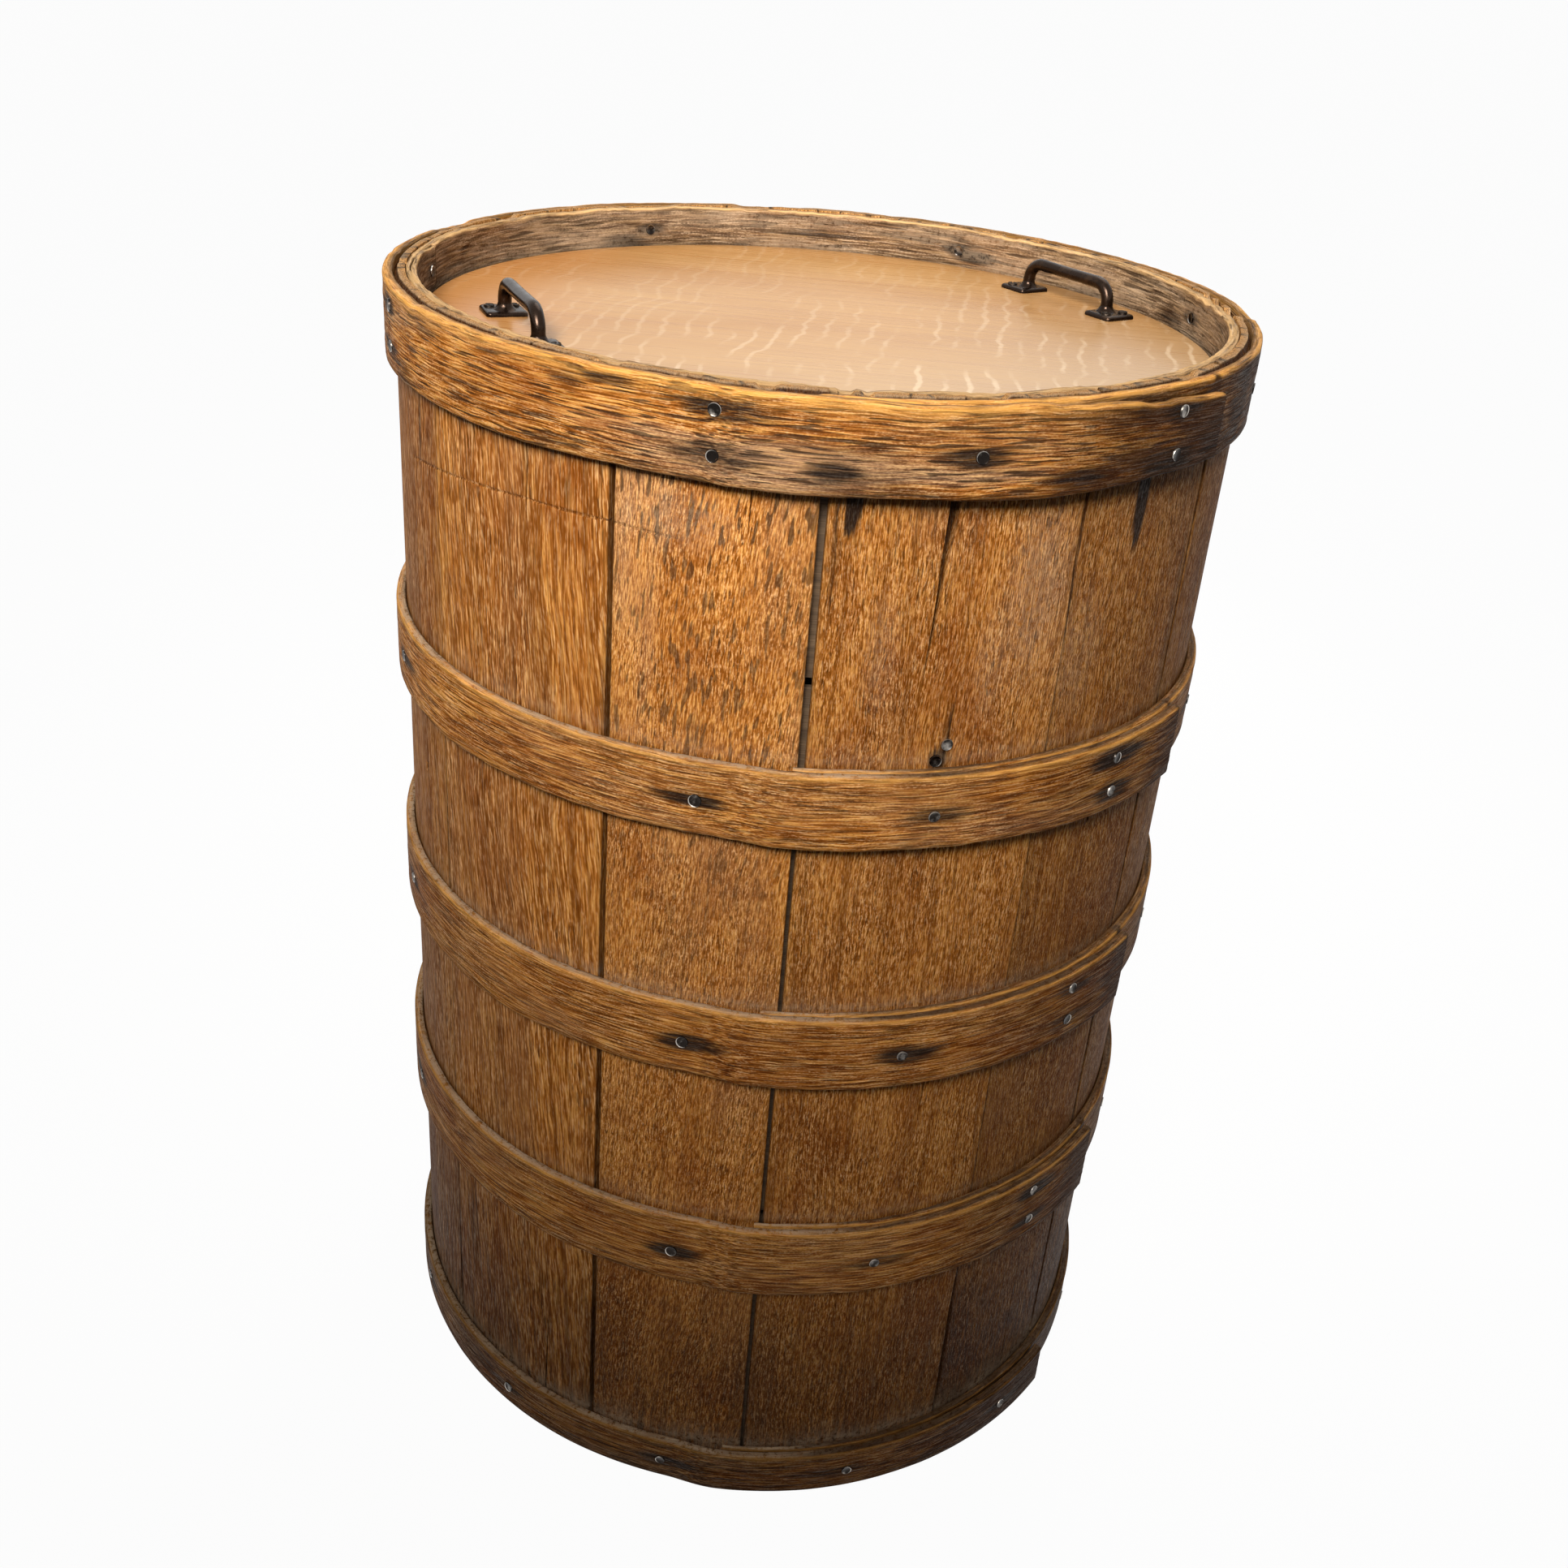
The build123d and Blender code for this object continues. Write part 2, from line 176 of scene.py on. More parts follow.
# Dark marks on the staves: azimuth, height, half width, half length, strength
STAVE_MARKS = (
    (-84.9, 790.0, 3.6, 20.0, 2.2),
    (-86.4, 760.0, 3.5, 46.0, 0.55),
    (-46.3, 782.0, 6.0, 34.0, 1.5),
    (-70.6, 650.0, 2.4, 32.0, 0.7),
    (-71.2, 632.0, 8.0, 12.0, 0.8),
    (-73.4, 782.0, 4.0, 22.0, 0.5),
    (-148.4, 772.0, 2.2, 32.0, 0.9),
    (-147.6, 735.0, 1.6, 14.0, 0.7),
    (-100.5, 640.0, 9.0, 20.0, 0.3),
    (-113.2, 640.0, 3.0, 60.0, 0.4),
    (-118.0, 772.0, 4.0, 14.0, 0.5),
    (-105.5, 777.0, 3.0, 12.0, 0.4),
    (-138.0, 150.0, 9.0, 60.0, 0.45),
    (-128.0, 60.0, 12.0, 50.0, 0.35),
    (-33.0, 700.0, 3.0, 90.0, 0.6),
    (22.0, 780.0, 6.0, 26.0, 0.8),
    (63.0, 640.0, 5.0, 30.0, 0.8),
    (92.0, 770.0, 8.0, 24.0, 0.6),
    (131.0, 455.0, 5.0, 24.0, 0.6),
    (160.0, 775.0, 5.0, 30.0, 0.7),
)

# Grey bloom on the staves: azimuth, height, half width, half length, strength
STAVE_BLOOM = (
    (-61.0, 735.0, 24.0, 60.0, 0.24),
    (-53.5, 690.0, 20.0, 46.0, 0.16),
    (-66.0, 690.0, 12.0, 34.0, 0.16),
    (-104.0, 770.0, 34.0, 18.0, 0.22),
    (-80.0, 700.0, 10.0, 40.0, 0.14),
    (20.0, 700.0, 30.0, 70.0, 0.25),
    (110.0, 640.0, 34.0, 60.0, 0.25),
)

# Dark marks on the top hoop: azimuth, height, half length, half width, strength
TOP_HOOP_MARKS = (
    (-87.5, 810.0, 20.0, 6.0, 0.95),
    (-121.0, 803.0, 26.0, 5.0, 0.5),
    (-150.0, 804.0, 24.0, 10.0, 0.5),
    (-60.0, 806.0, 26.0, 8.0, 0.6),
    (-112.5, 843.0, 22.0, 4.0, 0.75),
    (-118.0, 838.0, 16.0, 5.0, 0.55),
    (-27.0, 826.0, 26.0, 40.0, 0.6),
    (-37.0, 812.0, 34.0, 26.0, 0.6),
    (-47.0, 806.0, 34.0, 12.0, 0.7),
    (-54.0, 838.0, 26.0, 6.0, 0.5),
    (-135.0, 818.0, 36.0, 4.0, 0.35),
    (-142.0, 838.0, 20.0, 6.0, 0.5),
    (40.0, 812.0, 24.0, 8.0, 0.6),
    (120.0, 815.0, 20.0, 9.0, 0.6),
)

# Dark marks on the rim hoop's inner face: azimuth, height, half length, half width, strength
RIM_HOOP_MARKS = (
    (127.0, 823.0, 26.0, 9.0, 0.8),
    (63.5, 829.0, 24.0, 7.0, 0.9),
    (19.0, 826.0, 20.0, 8.0, 0.7),
    (90.0, 832.0, 60.0, 2.0, 0.7),
)

# Old nail holes in the staves: azimuth, height
HOLES = ((-154.6, 668.0), (-150.6, 526.0), (-150.2, 473.0), (8.0, 668.0), (104.0, 540.0))
HOLE_RADIUS = 2.0
HOLE_DEPTH = 3.0

# A scored line round the left of the drum: azimuth, height
SCORE = ((-152.0, 747.0), (-148.0, 749.5), (-136.0, 756.0), (-125.6, 760.0), (-112.2, 761.0), (-104.4, 758.5))
SCORE_DEPTH = 0.55
NO_SCORE = -99.0

# Broken places in the rim: azimuth, half width, depth
RIM_CHIPS = (
    (-128.6, 6.0, 1.8),
    (-114.0, 8.0, 3.4),
    (-95.5, 5.0, 2.2),
    (-86.7, 4.0, 7.0),
    (-84.2, 3.0, 5.0),
    (-70.5, 9.0, 4.0),
    (-40.0, 10.0, 2.5),
    (2.0, 10.0, 6.0),
    (8.0, 7.0, 8.0),
    (12.0, 4.0, 5.0),
    (57.7, 7.0, 4.0),
    (104.0, 6.0, 2.5),
    (150.0, 8.0, 2.5),
    (-170.0, 5.0, 3.0),
)


# Random fields, all from fixed seeds

TABLE_SIZE = 4096


def lattice(seed):
    """A fixed table of random values."""
    return np.random.default_rng(seed).uniform(-1.0, 1.0, TABLE_SIZE)


def eased(share):
    """A smooth step from 0 to 1."""
    share = np.clip(share, 0.0, 1.0)
    return share * share * (3.0 - 2.0 * share)


def wander(x, seed):
    """A smooth random line between -1 and 1, one swing to a unit of x."""
    table = lattice(seed)
    base = np.floor(x).astype(int)
    share = eased(x - base)
    return table[base % TABLE_SIZE] * (1.0 - share) + table[(base + 1) % TABLE_SIZE] * share


def ripple(x, y, seed):
    """A smooth random field between -1 and 1, one swing to a unit each way."""
    table = lattice(seed)
    row = np.floor(x).astype(int)
    column = np.floor(y).astype(int)
    across = eased(x - row)
    along = eased(y - column)

    def corner(i, j):
        return table[((row + i) * 131 + (column + j) * 1733) % TABLE_SIZE]

    near = corner(0, 0) * (1.0 - across) + corner(1, 0) * across
    far = corner(0, 1) * (1.0 - across) + corner(1, 1) * across
    return near * (1.0 - along) + far * along


# Round faces

def turn_between(azimuth, other):
    """Signed angle from one azimuth to another, -180 to 180."""
    return (azimuth - other + 180.0) % 360.0 - 180.0


def polar(radius, azimuth, z):
    """Points from distance to the axis, azimuth and height, as one array."""
    angle = np.radians(azimuth)
    return np.stack(np.broadcast_arrays(radius * np.cos(angle), radius * np.sin(angle), z), -1)


def spots(azimuth, z, marks, radius):
    """How strongly a list of marks shows at each point of a round face."""
    total = np.zeros(np.broadcast(azimuth, z).shape)
    for spot_azimuth, spot_z, half_width, half_length, strength in marks:
        across = np.radians(turn_between(azimuth, spot_azimuth)) * radius / half_width
        along = (z - spot_z) / half_length
        total = np.maximum(total, strength * eased(1.35 - np.sqrt(across ** 2 + along ** 2)))
    return total


def rim_chip(azimuth):
    """How much of the rim has broken away at an azimuth."""
    loss = np.zeros(np.shape(azimuth))
    for chip_azimuth, half_width, depth in RIM_CHIPS:
        across = np.abs(np.radians(turn_between(azimuth, chip_azimuth))) * STAVE_FACE / half_width
        loss = np.maximum(loss, depth * eased((1.15 - across) / 0.3))
    return loss


# Meshes

SHARP = 40.0
LOFT_SHARP = 50.0
CAST_SHARP = 45.0
HEAD_SHARP = 30.0


def put(name, vertices, faces, sharp=SHARP):
    """A new object in the scene from vertices in millimetres, smooth but for its sharp edges."""
    mesh = bpy.data.meshes.new(name)
    mesh.from_pydata((np.asarray(vertices) * MM).tolist(), [], faces)
    mesh.validate()
    mesh.shade_smooth()
    mesh.set_sharp_from_angle(angle=math.radians(sharp))
    return linked(name, mesh)


def linked(name, data):
    """A new object in the scene."""
    made = bpy.data.objects.new(name, data)
    bpy.context.scene.collection.objects.link(made)
    return made


def mark(piece, **layers):
    """Stores layers on a piece, each with a number or a vector for every vertex, or one number for all."""
    for name, values in layers.items():
        values = np.asarray(values, dtype=np.float32)
        if values.ndim == 0:
            values = np.full(len(piece.data.vertices), values)
        kind, field = ("FLOAT_VECTOR", "vector") if values.ndim == 2 else ("FLOAT", "value")
        layer = piece.data.attributes.new(name, kind, "POINT")
        layer.data.foreach_set(field, values.ravel())


def lofted(name, front, rear):
    """A closed solid between two grids of points, a face and a back, one row to a cross-section."""
    sections = np.concatenate([front, rear[:, ::-1]], 1)
    count, size = sections.shape[:2]
    index = np.arange(count * size).reshape(count, size)
    low, high = index[:-1], index[1:]
    sides = np.stack([low, np.roll(low, -1, 1), np.roll(high, -1, 1), high], -1).reshape(-1, 4)
    half = size // 2
    face = index[:, :half]
    back = index[:, :half - 1:-1]
    end = np.stack([face[-1, :-1], face[-1, 1:], back[-1, 1:], back[-1, :-1]], -1)
    start = np.stack([face[0, :-1], back[0, :-1], back[0, 1:], face[0, 1:]], -1)
    faces = np.concatenate([sides, end, start]).tolist()
    return put(name, sections.reshape(-1, 3), faces, LOFT_SHARP)


def wrapped(front, rear):
    """A value for each vertex of a lofted solid, from the values on its face and on its back."""
    front, rear = np.broadcast_arrays(front, rear)
    return np.concatenate([front, rear[:, ::-1]], 1).ravel()


def grain_of(along, across, front, rear, shift):
    """Where each vertex of a lofted solid lies in its wood, in metres."""
    axes = [wrapped(along, along), wrapped(across, across), wrapped(front, rear)]
    return np.stack(axes, -1) * MM + shift


def ring_sides(low, high, size):
    """Faces between two rings of vertices, from the first vertex of each."""
    pairs = [(step, (step + 1) % size) for step in range(size)]
    return [(low + step, low + after, high + after, high + step) for step, after in pairs]


def tube_faces(first, rings, size):
    """Faces of a closed tube whose rings follow each other from a first vertex."""
    last = first + (rings - 1) * size
    faces = []
    for low in range(first, last, size):
        faces.extend(ring_sides(low, low + size, size))
    faces.append(tuple(reversed(range(first, first + size))))
    faces.append(tuple(range(last, last + size)))
    return faces


def turned(name, profile, segments):
    """A solid of revolution about the drum's axis. The profile runs from the axis above to the axis below."""
    angles = np.arange(segments) * 2.0 * math.pi / segments
    rings = profile[1:-1]
    vertices = [(r * math.cos(a), r * math.sin(a), z) for r, z in rings for a in angles]
    faces = []
    for ring in range(len(rings) - 1):
        faces.extend(ring_sides((ring + 1) * segments, ring * segments, segments))
    for pole, ring, way in ((profile[0], 0, 1), (profile[-1], len(rings) - 1, -1)):
        vertices.append((0.0, 0.0, pole[1]))
        for step in range(segments):
            pair = (ring * segments + step, ring * segments + (step + 1) % segments)
            faces.append((len(vertices) - 1,) + pair[::way])
    return put(name, vertices, faces)


# The CAD nodes that pieces take their places from

def azimuth_range(node):
    """Lowest and highest azimuth of a CAD node that spans less than half a turn."""
    points = np.array([v.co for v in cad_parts[node].data.vertices])
    azimuths = np.degrees(np.arctan2(points[:, 1], points[:, 0]))
    middle = math.degrees(math.atan2(points[:, 1].mean(), points[:, 0].mean()))
    turns = turn_between(azimuths, middle)
    return middle + turns.min(), middle + turns.max()


def solids_of(node):
    """The points of each separate solid in a CAD node, in millimetres."""
    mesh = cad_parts[node].data
    points = np.array([v.co for v in mesh.vertices]) / MM
    keys = {}
    owner = [keys.setdefault(tuple(np.round(p, 2)), len(keys)) for p in points]
    parent = list(range(len(keys)))

    def root(i):
        while parent[i] != i:
            parent[i] = parent[parent[i]]
            i = parent[i]
        return i

    for polygon in mesh.polygons:
        first = root(owner[polygon.vertices[0]])
        for vertex in polygon.vertices[1:]:
            parent[root(owner[vertex])] = first
    solids = {}
    for place, i in keys.items():
        solids.setdefault(root(i), []).append(place)
    return [np.array(places) for places in solids.values()]


def nail_seats(node, outwards):
    """Azimuth, height and radius of the head of each nail in a CAD node."""
    seats = []
    for places in solids_of(node):
        order = np.argsort(np.hypot(places[:, 0], places[:, 1]))
        head = places[order[-4:] if outwards else order[:4]].mean(0)
        seats.append((math.degrees(math.atan2(head[1], head[0])), head[2], math.hypot(head[0], head[1])))
    return sorted(seats)


# Staves

def stave_heights():
    """Heights of a stave's cross-sections, closer at the ends and at the scored line."""
    foot = np.array([0.0, 0.4, 1.1, 2.4])
    below_score = np.arange(6.0, 744.0, 5.0)
    score = np.arange(744.0, 765.0, 0.9)
    above_score = np.arange(766.0, 832.0, 4.0)
    crown = np.array([836.0, 840.0, 843.0, 845.5, 847.4, 848.8, 849.6, RIM])
    return np.concatenate([foot, below_score, score, above_score, crown])


def joint_opening(number, side, z):
    """How far a stave's edge stands back. The wide joint narrows downwards, tight ones open at their ends."""
    edge = (number, side)
    if edge in WIDE_EDGES:
        return -0.3 - 1.0 * eased((640.0 - z) / 90.0)
    if edge in LEFT_TIGHT_EDGES:
        return 0.9 * eased((150.0 - z) / 110.0)
    if edge in RIGHT_TIGHT_EDGES:
        return 0.9 * eased((z - 690.0) / 70.0) + 1.1 * eased((205.0 - z) / 60.0)
    return 0.12 * (1 + wander(z / 47.0, JOINT_SEED + number * 7 + side))


def edge_fall(number, side, opening):
    """How far the corner of a stave's edge is worn back."""
    if (number, side) in LEFT_TIGHT_EDGES + RIGHT_TIGHT_EDGES:
        return 0.15 + 0.7 * opening
    return np.ones_like(opening)


def stave_columns(number, z):
    """Azimuth of each column of a stave's face at each height, and how deep it sinks there."""
    low, high = azimuth_range(f"stave_{number:02d}")
    left_opening = joint_opening(number, -1, z)
    right_opening = joint_opening(number, 1, z)
    left = low + STAVE_DEGREES * left_opening
    right = high - STAVE_DEGREES * right_opening
    left_fall = edge_fall(number, -1, left_opening)
    right_fall = edge_fall(number, 1, right_opening)
    flat = np.zeros_like(z)
    inset, arris = 0.5 * STAVE_DEGREES, ARRIS * STAVE_DEGREES
    columns = [left, left + inset, left + arris]
    sinks = [left_fall, 0.3 * left_fall, flat]

    def fill(to):
        start = columns[-1]
        steps = max(int(round(float(np.mean(to - start)) / STAVE_DEGREES / COLUMN_WIDTH)), 1)
        for step in range(1, steps):
            columns.append(start + (to - start) * step / steps)
            sinks.append(flat)

    splits = sorted((s for s in SPLITS if s[0] == number), key=lambda s: s[2] + s[4])
    for _, foot, foot_azimuth, head, head_azimuth, head_width, foot_width in splits:
        share = np.clip((z - foot) / (head - foot), 0.0, 1.0)
        inside = ((z > foot) & (z < head + 1.0)).astype(float)
        sway = STAVE_DEGREES * 0.5 * wander(z / 21.0, SPLIT_SEED + number * 7)
        middle = foot_azimuth + (head_azimuth - foot_azimuth) * share + sway
        width = (0.2 + (foot_width + (head_width - foot_width) * share) * inside) * STAVE_DEGREES
        depth = inside * np.minimum(6.2, 1.2 + 4.2 * width / STAVE_DEGREES)
        fill(middle - width / 2)
        columns.extend((middle - width / 2, middle - width / 3, middle + width / 3, middle + width / 2))
        sinks.extend((flat, depth, depth, flat))
    fill(right - arris)
    columns.extend((right - arris, right - inset, right))
    sinks.extend((flat, 0.3 * right_fall, right_fall))
    return np.stack(columns, 1), np.stack(sinks, 1)


def stave_grids(number, seed):
    """Grids over a stave: its azimuth, height, face and back, and where its wood is cut or broken."""
    z = stave_heights()
    azimuth, sink = stave_columns(number, z)
    height = np.repeat(z[:, None], azimuth.shape[1], 1)
    arc = np.radians(azimuth) * STAVE_FACE
    swell = 0.16 * (1 + ripple(arc / 9.0, height / 160.0, seed))
    swell += 0.1 * (1 + ripple(arc / 2.6, height / 60.0, seed + 1))
    end_round = 2.8 * eased(1.0 - (RIM - height) / 7.0) + 0.8 * eased(1.0 - height / 2.2)
    line = np.interp(turn_between(azimuth, 0.0), *zip(*SCORE), left=NO_SCORE, right=NO_SCORE)
    groove = eased(1.3 - np.abs(height - line) / 0.8)
    holes = spots(azimuth, height, [(a, h, HOLE_RADIUS, HOLE_RADIUS, 1.0) for a, h in HOLES], STAVE_FACE)
    lost = np.maximum.reduce([swell + SCORE_DEPTH * groove, sink, end_round, HOLE_DEPTH * holes])
    back = STAVE_BACK + 0.5 * eased(1.0 - (RIM - height) / 2.2)
    crumble = 0.9 * eased(0.5 + 2.5 * wander(arc / 26.0, seed + 2)) + 0.25 * (1 + wander(arc / 7.0, seed + 3))
    crumble += rim_chip(azimuth)
    inner_crumble = crumble * (0.85 + 0.25 * wander(arc / 14.0, seed + 5))
    head = eased((height - 828.0) / 22.0)
    return SimpleNamespace(
        azimuth=azimuth, height=height, arc=arc, face=STAVE_FACE - lost, back=back, sink=sink, groove=groove,
        holes=holes, top=height - crumble * head, inner_top=height - inner_crumble * head)


def mark_stave_wear(piece, number, s, seed):
    """Stores a stave's grimy marks with painted shade, its dust, stains, worn edges and bare ends."""
    from_sides = np.minimum(s.azimuth - s.azimuth[:, :1], s.azimuth[:, -1:] - s.azimuth)
    edge = from_sides * math.pi / 180.0 * STAVE_FACE
    # Darker at the stave's edges, in its splits and in the scored line
    grime = 0.6 * np.exp(-edge / 0.4) + 0.1 * np.exp(-edge / 8.0) + 0.8 * (s.sink > 1.05) + 0.45 * s.groove
    dust = np.zeros_like(s.height)
    for foot, tall, *_ in HOOPS.values():
        above = s.height - foot - tall
        # Painted shadow on the staves just below each hoop's foot, and painted shade in the seam along each
        # hoop's top
        grime += 0.55 * np.exp(-np.abs(s.height - foot) / 2.5) + 0.35 * np.exp(-np.abs(above) / 3.0)
        dust += (above > -1.0) * np.exp(-np.abs(above) / 5.0) * 0.4
    # Painted shade: the staves darken towards the bottom, where the light falls off
    grime += 0.5 * eased((300.0 - s.height) / 240.0) + 0.16 * eased((600.0 - s.height) / 440.0)
    grime += STAVE_SIDE_SHADE.get(number, 0.0)
    # Painted shade in the seam under the top hoop's upper edge, over the top of each stave's face
    grime += 0.9 * eased(1.0 - (RIM - s.height) / 9.0)
    drift = 0.5 + 0.5 * ripple(s.arc / 14.0, s.height / 30.0, seed + 8)
    dust += 0.45 * eased((70.0 - s.height) / 40.0) * drift
    dust = np.maximum(dust, spots(s.azimuth, s.height, STAVE_BLOOM, STAVE_FACE))
    crown = eased(1.0 - (RIM - s.height) / 3.0)
    worn = 0.4 * np.exp(-np.abs(edge - 1.0)) * (1.0 - crown)
    stains = np.maximum(spots(s.azimuth, s.height, STAVE_MARKS, STAVE_FACE), s.holes)
    ends = eased(1.0 - (RIM - s.height) / 0.7)
    # The inner faces get a fixed darkening below the head: painted shade inside the drum, seen through the
    # joints
    mark(
        piece, grime=wrapped(grime, 0.5 * (1.0 - crown)), dust=wrapped(dust, 0.0), ends=wrapped(ends, crown),
        stain=wrapped(stains, 0.0), worn=wrapped(worn, worn))


def stave_character(number, chance):
    """Scale along a stave's grain, scale across it, its slant, its tone and the strength of its figure."""
    run, across = chance.uniform(0.5, 1.0), chance.uniform(0.7, 1.0)
    tone, figure = chance.uniform(-0.3, 0.3), chance.uniform(0.0, 0.7)
    return STAVES_IN_VIEW.get(number, (run, across, 0.0, tone, figure))


def stave(number):
    """One worn stave with its splits, rounded edges and broken head."""
    seed = 100 + number * 13
    chance = np.random.default_rng(seed)
    s = stave_grids(number, seed)
    front = polar(s.face, s.azimuth, s.top)
    piece = lofted(f"worn_stave_{number:02d}", front, polar(s.back, s.azimuth, s.inner_top))
    shift = chance.uniform(-5.0, 5.0, 3)
    run, across, slant, tone, figure = stave_character(number, chance)
    bend = s.arc + 3.0 * ripple(s.arc / 40.0, s.height / 90.0, seed + 6)
    bend += 0.9 * ripple(s.arc / 9.0, s.height / 26.0, seed + 7)
    grain = grain_of(s.height * run, bend * across + slant * s.height, s.face, s.back, shift)
    figure = figure * (0.35 + 0.65 * eased((s.height - 480.0) / 140.0))
    figure = np.clip(figure + 0.4 * eased((s.height - 735.0) / 60.0), 0.0, 1.0)
    mark(piece, grain=grain, tone=tone, figure=wrapped(figure, figure))
    mark_stave_wear(piece, number, s, seed)
    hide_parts(f"stave_{number:02d}")
    return piece


# Bent strips

def strip_rows(height, upper_round, lower_round):
    """Places of the rows up a bent strip's face, closer where its edges are rounded."""
    body = np.linspace(lower_round, height - upper_round, max(int(height / 1.7), 4))
    low = lower_round * np.array([0.0, 0.12, 0.35, 0.65])
    high = height - upper_round * np.array([0.65, 0.35, 0.12, 0.0])
    return np.concatenate([low, body, high])


def rounding(rows, height, upper_round, lower_round):
    """How far a rounded edge falls back from a strip's face at each row."""
    def fall(distance, radius):
        left = np.clip(radius - distance, 0.0, radius)
        return radius - np.sqrt(radius ** 2 - left ** 2)
    return fall(rows, lower_round) + fall(height - rows, upper_round)


def bent_strip(arc, azimuths, foot, height, rounds, lower_edge, upper_edge):
    """Grids over a bent strip: length along it, place up it, its azimuth, its height and its edges' fall."""
    rows = strip_rows(height, *rounds)
    along, up = np.meshgrid(arc, rows, indexing="ij")
    share = up / height
    z = foot + up + lower_edge[:, None] * (1 - share) ** 3 - upper_edge[:, None] * share ** 3
    azimuth = np.repeat(azimuths[:, None], len(rows), 1)
    return SimpleNamespace(
        arc=arc, along=along, up=up, share=share, azimuth=azimuth, z=z, fall=rounding(rows, height, *rounds))


# Hoops

def hoop_seed(name):
    """Where a hoop's random fields start."""
    return 400 + 31 * list(HOOPS).index(name)


def lap_lift(turn):
    """How far a hoop's outer layer stands off the staves, a turn in degrees back from its end."""
    lapped = HOOP_THICKNESS + (FEATHER - HOOP_THICKNESS) * np.minimum(turn, LAP_SWEEP) / LAP_SWEEP + LAP_GAP
    share = np.clip((turn - LAP_SWEEP) / LAP_STEP, 0.0, 1.0)
    return np.where(turn <= LAP_SWEEP, lapped, (FEATHER + LAP_GAP) * (1.0 + np.cos(np.pi * share)) / 2.0)


def hoop_layers(turn):
    """Inner and outer radius of a hoop's strip along its turn, with the shaved inner end."""
    share = np.clip((turn - 360.0) / LAP_SWEEP, 0.0, 1.0)
    thickness = HOOP_THICKNESS + (FEATHER - HOOP_THICKNESS) * share
    inner = HOOP_SEAT + np.where(turn <= LAP_SWEEP + LAP_STEP, lap_lift(turn), 0.0)
    return inner, inner + thickness


def hoop_grids(name):
    """Grids over a hoop's strip, with the radius of its face and back."""
    foot, height, lap_end, *_ = HOOPS[name]
    seed = hoop_seed(name)
    turn = np.linspace(0.0, 360.0 + LAP_SWEEP, HOOP_STATIONS)
    arc = np.radians(turn) * HOOP_ARC_RADIUS
    lower_edge = 0.7 * (1 + wander(arc / 55.0, seed + 2)) + 0.35 * (1 + wander(arc / 9.0, seed + 3))
    upper_edge = 0.5 * (1 + wander(arc / 70.0, seed + 4)) + 0.25 * (1 + wander(arc / 7.0, seed + 5))
    if name == "bottom_hoop":
        lower_edge *= 0.25
    if name == "top_hoop":
        upper_edge += 1.6 * eased(wander(arc / 31.0, seed + 6) * 2.0 - 0.7)
    s = bent_strip(arc, lap_end - turn, foot, height, HOOP_ROUNDS, lower_edge, upper_edge)
    if name == "top_hoop":
        taper = np.clip(1.0 - turn / TAPER_SWEEP, 0.0, 1.0)[:, None]
        s.z += taper * (TAPER_LOWER * (1 - s.share) - TAPER_UPPER * s.share)
    inner, outer = hoop_layers(turn)
    thin = np.clip((outer - inner) / HOOP_THICKNESS, 0.1, 1.0)[:, None]
    ridge = 0.13 * (1 + ripple(s.along / 26.0, s.up / 1.9, seed))
    ridge += 0.12 * (1 + ripple(s.along / 90.0, s.up / 5.0, seed + 1))
    s.face = outer[:, None] - (ridge + s.fall) * thin
    s.back = inner[:, None] + 0.5 * s.fall * thin
    s.turn = turn
    return s


def hoop_stains(name, s):
    """Iron stain drawn out from every nail along the outer layer, with the top hoop's other marks."""
    chance = np.random.default_rng(hoop_seed(name) + 9)
    stains = np.zeros_like(s.up)
    outer_layer = (s.turn <= 360.0)[:, None]
    for seat_azimuth, seat_z, _ in nail_seats(f"{name}_nails", True):
        skew = chance.uniform(0.55, 1.5)
        across = np.radians(turn_between(s.azimuth, seat_azimuth)) * HOOP_ARC_RADIUS
        reach = chance.uniform(24.0, 40.0) * np.where(across > 0.0, skew, 1.0 / skew)
        off = (s.z - seat_z) / chance.uniform(6.0, 10.0)
        spread = np.sqrt((across / reach) ** 2 + off ** 2)
        stains = np.maximum(stains, chance.uniform(0.6, 0.95) * eased(1.3 - spread) * outer_layer)
    if name == "top_hoop":
        stains = np.maximum(stains, spots(s.azimuth, s.z, TOP_HOOP_MARKS, HOOP_ARC_RADIUS))
    return stains


